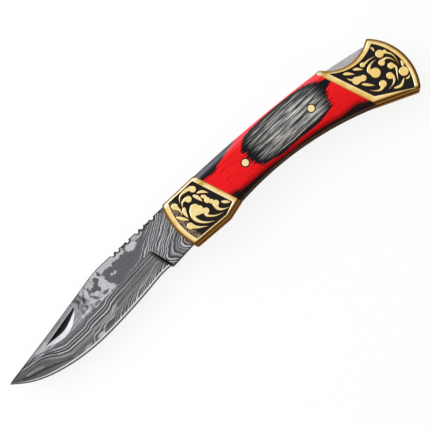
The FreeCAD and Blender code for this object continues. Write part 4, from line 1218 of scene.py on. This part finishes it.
def depth_in_strokes(x, y, strokes):
    """How far each grid point lies inside the nearest stroke: the half width of the stroke at
    the nearest place along it, less the distance to that place."""
    deepest = np.full(x.shape, -np.inf)
    for stroke in strokes:
        starts, ends = stroke[:-1], stroke[1:]
        if len(stroke) == 1:
            starts = ends = stroke
        for (ax, ay, ar), (bx, by, br) in zip(starts, ends):
            run_x, run_y = bx - ax, by - ay
            length = run_x**2 + run_y**2
            along = np.clip(((x - ax) * run_x + (y - ay) * run_y) / length, 0.0, 1.0) if length else 0.0
            away = np.hypot(x - ax - run_x * along, y - ay - run_y * along)
            deepest = np.maximum(deepest, ar + (br - ar) * along - away)
    return deepest


def punched(x, y):
    """Punch marks on the ground: two rows of ripples that cross, broken up by a slower one."""
    fine = np.sin(x * 9.1 + np.sin(y * 2.3) * 1.7) * np.sin(y * 8.3 + np.sin(x * 1.9) * 1.9)
    slow = np.sin(x * 3.7 + y * 2.9) * np.sin(y * 4.3 - x * 2.1)
    return fine * 0.7 + slow * 0.3


def add_piece(name, points, faces, side, finish, replaces=None, shares=None):
    """Puts a surface of the handle into a mesh, in metres. Faces are listed as seen from above,
    so they are turned round on the lower side. Points at one place are joined, and faces with no
    area are left out."""
    if side < 0:
        faces = faces[:, ::-1]
    spans = points[faces[:, 2:]] - points[faces[:, :2]]
    faces = faces[np.linalg.norm(np.cross(spans[:, 0], spans[:, 1]), axis=1) > LEAST_AREA]
    _, first, same = np.unique(np.round(points, 6), axis=0, return_index=True, return_inverse=True)
    used, faces = np.unique(first[same.reshape(-1)][faces], return_inverse=True)
    mesh = bpy.data.meshes.new(name)
    mesh.from_pydata((points[used] * MM + DATUM).tolist(), [], faces.reshape(-1, 4).tolist())
    mesh.polygons.foreach_set("use_smooth", np.ones(len(mesh.polygons), bool))
    mesh.set_sharp_from_angle(angle=CREASE)
    for share_name, values in (shares or {}).items():
        layer = mesh.attributes.new(share_name, "FLOAT", "POINT")
        layer.data.foreach_set("value", values[used].astype(np.float32))
    mesh.materials.append(finish)
    mesh.update()
    piece = bpy.data.objects.new(name, mesh)
    bpy.context.scene.collection.objects.link(piece)
    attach(piece, "handle")
    if replaces:
        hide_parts(replaces)
    return piece


def engraved_panel(node, side, strokes, finish):
    """A sheet over a bolster's sunk panel. Its height is the floor, plus punch marks on the bare
    ground, plus scrolls that rise smoothly from their outlines to a slightly domed top."""
    _, floor, triangles = panel_floor(node, side)
    low = triangles.reshape(-1, 2).min(axis=0) - PANEL_LAP
    high = triangles.reshape(-1, 2).max(axis=0) + PANEL_LAP
    x, y = np.meshgrid(np.arange(low[0], high[0] + GRID, GRID), np.arange(low[1], high[1] + GRID, GRID))
    inside = near_triangles(x, y, triangles, PANEL_LAP)
    depth = depth_in_strokes(x, y, strokes) + LEAF_GROWTH
    raised = smooth(0.0, LEAF_EDGE, depth)
    dome = LEAF_DOME * (1.0 - np.exp(-np.maximum(depth, 0.0) / DOME_REACH))
    ground = GROUND_LIFT + PUNCH_HEIGHT * punched(x, y) * (1.0 - raised)
    height = ground + LEAF_HEIGHT * raised + dome
    points = np.column_stack([x.ravel(), y.ravel(), floor + height.ravel() * side])
    faces = grid_faces(*x.shape, closed=False)[:, ::-1]
    faces = faces[inside.ravel()[faces].all(axis=1)]
    shares = {"leaf": raised.ravel()}
    return add_piece(f"{node}_scrolls", points, faces, side, finish, shares=shares)


# Dressing the solids


def dress(finishes):
    """Gives every solid its finish by the record's slots."""
    slots = {part["node"]: part["material_slot"] for part in frame["record"]["subparts"]}
    for node, item in frame["nodes"].items():
        item.data.materials.clear()
        item.data.materials.append(finishes[slots[node]])


finishes = {
    "blade_steel": layered_steel(),
    "lock_steel": ground_steel(),
    "bolster_brass": polished_brass(),
    "liner_brass": liner_brass(),
    "pin_brass": pin_brass(),
    "pin_steel": ground_steel(),
    "dyed_wood": dyed_wood(),
}
dress(finishes)
scrolls = scroll_brass()
for name, side in SIDES.items():
    covers = [f"{name}_front_bolster", f"{name}_scale", f"{name}_rear_bolster"]
    front, grip, rear = (base_outline(node, side)[1] for node in covers)
    wooden_grip(covers[1], side, [front, rear], finishes["dyed_wood"])
    for node, strokes in ((covers[0], FRONT_STROKES), (covers[2], REAR_STROKES)):
        bolster_frame(node, side, [grip], finishes["bolster_brass"])
        engraved_panel(node, side, strokes, scrolls)


# Studio


FLOOR_SIZE = 3.0
FLOOR_GAP = 0.0002
PAPER_DULL = (0.93, 0.93, 0.93)
PAPER_LIGHT = (0.95, 0.95, 0.95)
PAPER_GLOW = 0.85
NO_LIGHT = (0.0, 0.0, 0.0)
WHITE_LIGHT = (1.0, 1.0, 1.0)
CAMERA_AIM = DATUM + np.array([1.011, -4.809, 7.35]) * MM
CAMERA_DISTANCE = 0.7
CAMERA_TILT = math.radians(7.0)
CAMERA_LEAN = math.radians(0.338)
CAMERA_ROLL = math.radians(-43.0)
CAMERA_LENS = 146.4
CAMERA_SENSOR = 36.0
CAMERA_NEAR = 0.01

# Lamps: place and size in metres, power in watts and colour.
SOFTBOXES = {
    "overhead_box": ((0.0, 0.12, 1.0), (1.5, 1.2), 1.4, WHITE_LIGHT),
    "back_strip": ((-0.42, 0.68, 0.60), (1.0, 0.55), 5.4, (0.90, 0.95, 1.0)),
}


def add_floor():
    """A white sheet just under the knife. It glows for the camera and in reflections, and is plain
    paper to all other light."""
    half = FLOOR_SIZE / 2
    level = solid_box[0][2] - FLOOR_GAP
    mesh = bpy.data.meshes.new("floor")
    corners = [(-half, -half, level), (half, -half, level), (half, half, level), (-half, half, level)]
    mesh.from_pydata(corners, [], [(0, 1, 2, 3)])
    finish = Finish("white_paper")
    fibre = finish.texture(0.8, 0.8, detail=2.0)
    paper = finish.blend(fibre, PAPER_DULL, PAPER_LIGHT)
    seen = finish.node("ShaderNodeLightPath", out="Is Camera Ray")
    for way in ("Is Glossy Ray", "Is Transmission Ray"):
        seen = seen.most(finish.node("ShaderNodeLightPath", out=way))
    mesh.materials.append(
        finish.coat_with(
            base_color=finish.blend(seen * PAPER_GLOW, paper, NO_LIGHT),
            roughness=0.9,
            specular_ior_level=0.0,
            emission_color=finish.blend(seen * PAPER_GLOW, NO_LIGHT, WHITE_LIGHT),
            emission_strength=1.0,
        )
    )
    floor = bpy.data.objects.new("floor", mesh)
    bpy.context.scene.collection.objects.link(floor)


def add_softbox(name, place, size, power, colour):
    """A rectangular lamp that faces the middle of the knife."""
    lamp = bpy.data.lights.new(name, "AREA")
    lamp.shape = "RECTANGLE"
    lamp.size, lamp.size_y = size
    lamp.energy = power
    lamp.color = colour
    box = bpy.data.objects.new(name, lamp)
    box.location = place
    box.rotation_euler = (Vector(CAMERA_AIM) - Vector(place)).to_track_quat("-Z", "Y").to_euler()
    box.visible_camera = False
    bpy.context.scene.collection.objects.link(box)


# Brightness of the room, from its dim end below the belly's side to its bright end over the back.
ROOM_AXIS = (-0.15, 0.40, 0.90)
ROOM_GLOW = [(0.0, 0.16), (0.30, 0.45), (0.60, 0.85), (1.0, 0.90)]


def light_room():
    """Dim walls that brighten overhead and behind the knife's back."""
    world = bpy.data.worlds.new("room")
    world.use_nodes = True
    nodes, links = world.node_tree.nodes, world.node_tree.links
    background = nodes["Background"]
    coords = nodes.new("ShaderNodeTexCoord")
    height = nodes.new("ShaderNodeVectorMath")
    height.operation = "DOT_PRODUCT"
    height.inputs[1].default_value = ROOM_AXIS
    ramp = nodes.new("ShaderNodeValToRGB")
    Finish.fill_ramp(ramp, [(place, (glow, glow, glow)) for place, glow in ROOM_GLOW])
    links.new(coords.outputs["Generated"], height.inputs[0])
    links.new(height.outputs["Value"], ramp.inputs[0])
    links.new(ramp.outputs[0], background.inputs[0])
    bpy.context.scene.world = world


def add_camera():
    """The photograph's view: above the knife, tilted towards its belly and rolled."""
    turn = Euler((CAMERA_TILT, 0.0, 0.0)).to_matrix()
    turn = turn @ Euler((0.0, CAMERA_LEAN, 0.0)).to_matrix()
    turn = turn @ Euler((0.0, 0.0, CAMERA_ROLL)).to_matrix()
    lens = bpy.data.cameras.new("camera")
    lens.lens = CAMERA_LENS
    lens.sensor_width = CAMERA_SENSOR
    lens.clip_start = CAMERA_NEAR
    camera = bpy.data.objects.new("camera", lens)
    camera.matrix_world = turn.to_4x4()
    camera.location = Vector(CAMERA_AIM) + turn @ Vector((0.0, 0.0, CAMERA_DISTANCE))
    bpy.context.scene.collection.objects.link(camera)
    bpy.context.scene.camera = camera


add_floor()
light_room()
for name, settings in SOFTBOXES.items():
    add_softbox(name, *settings)
add_camera()
bpy.context.scene.view_settings.view_transform = "Standard"
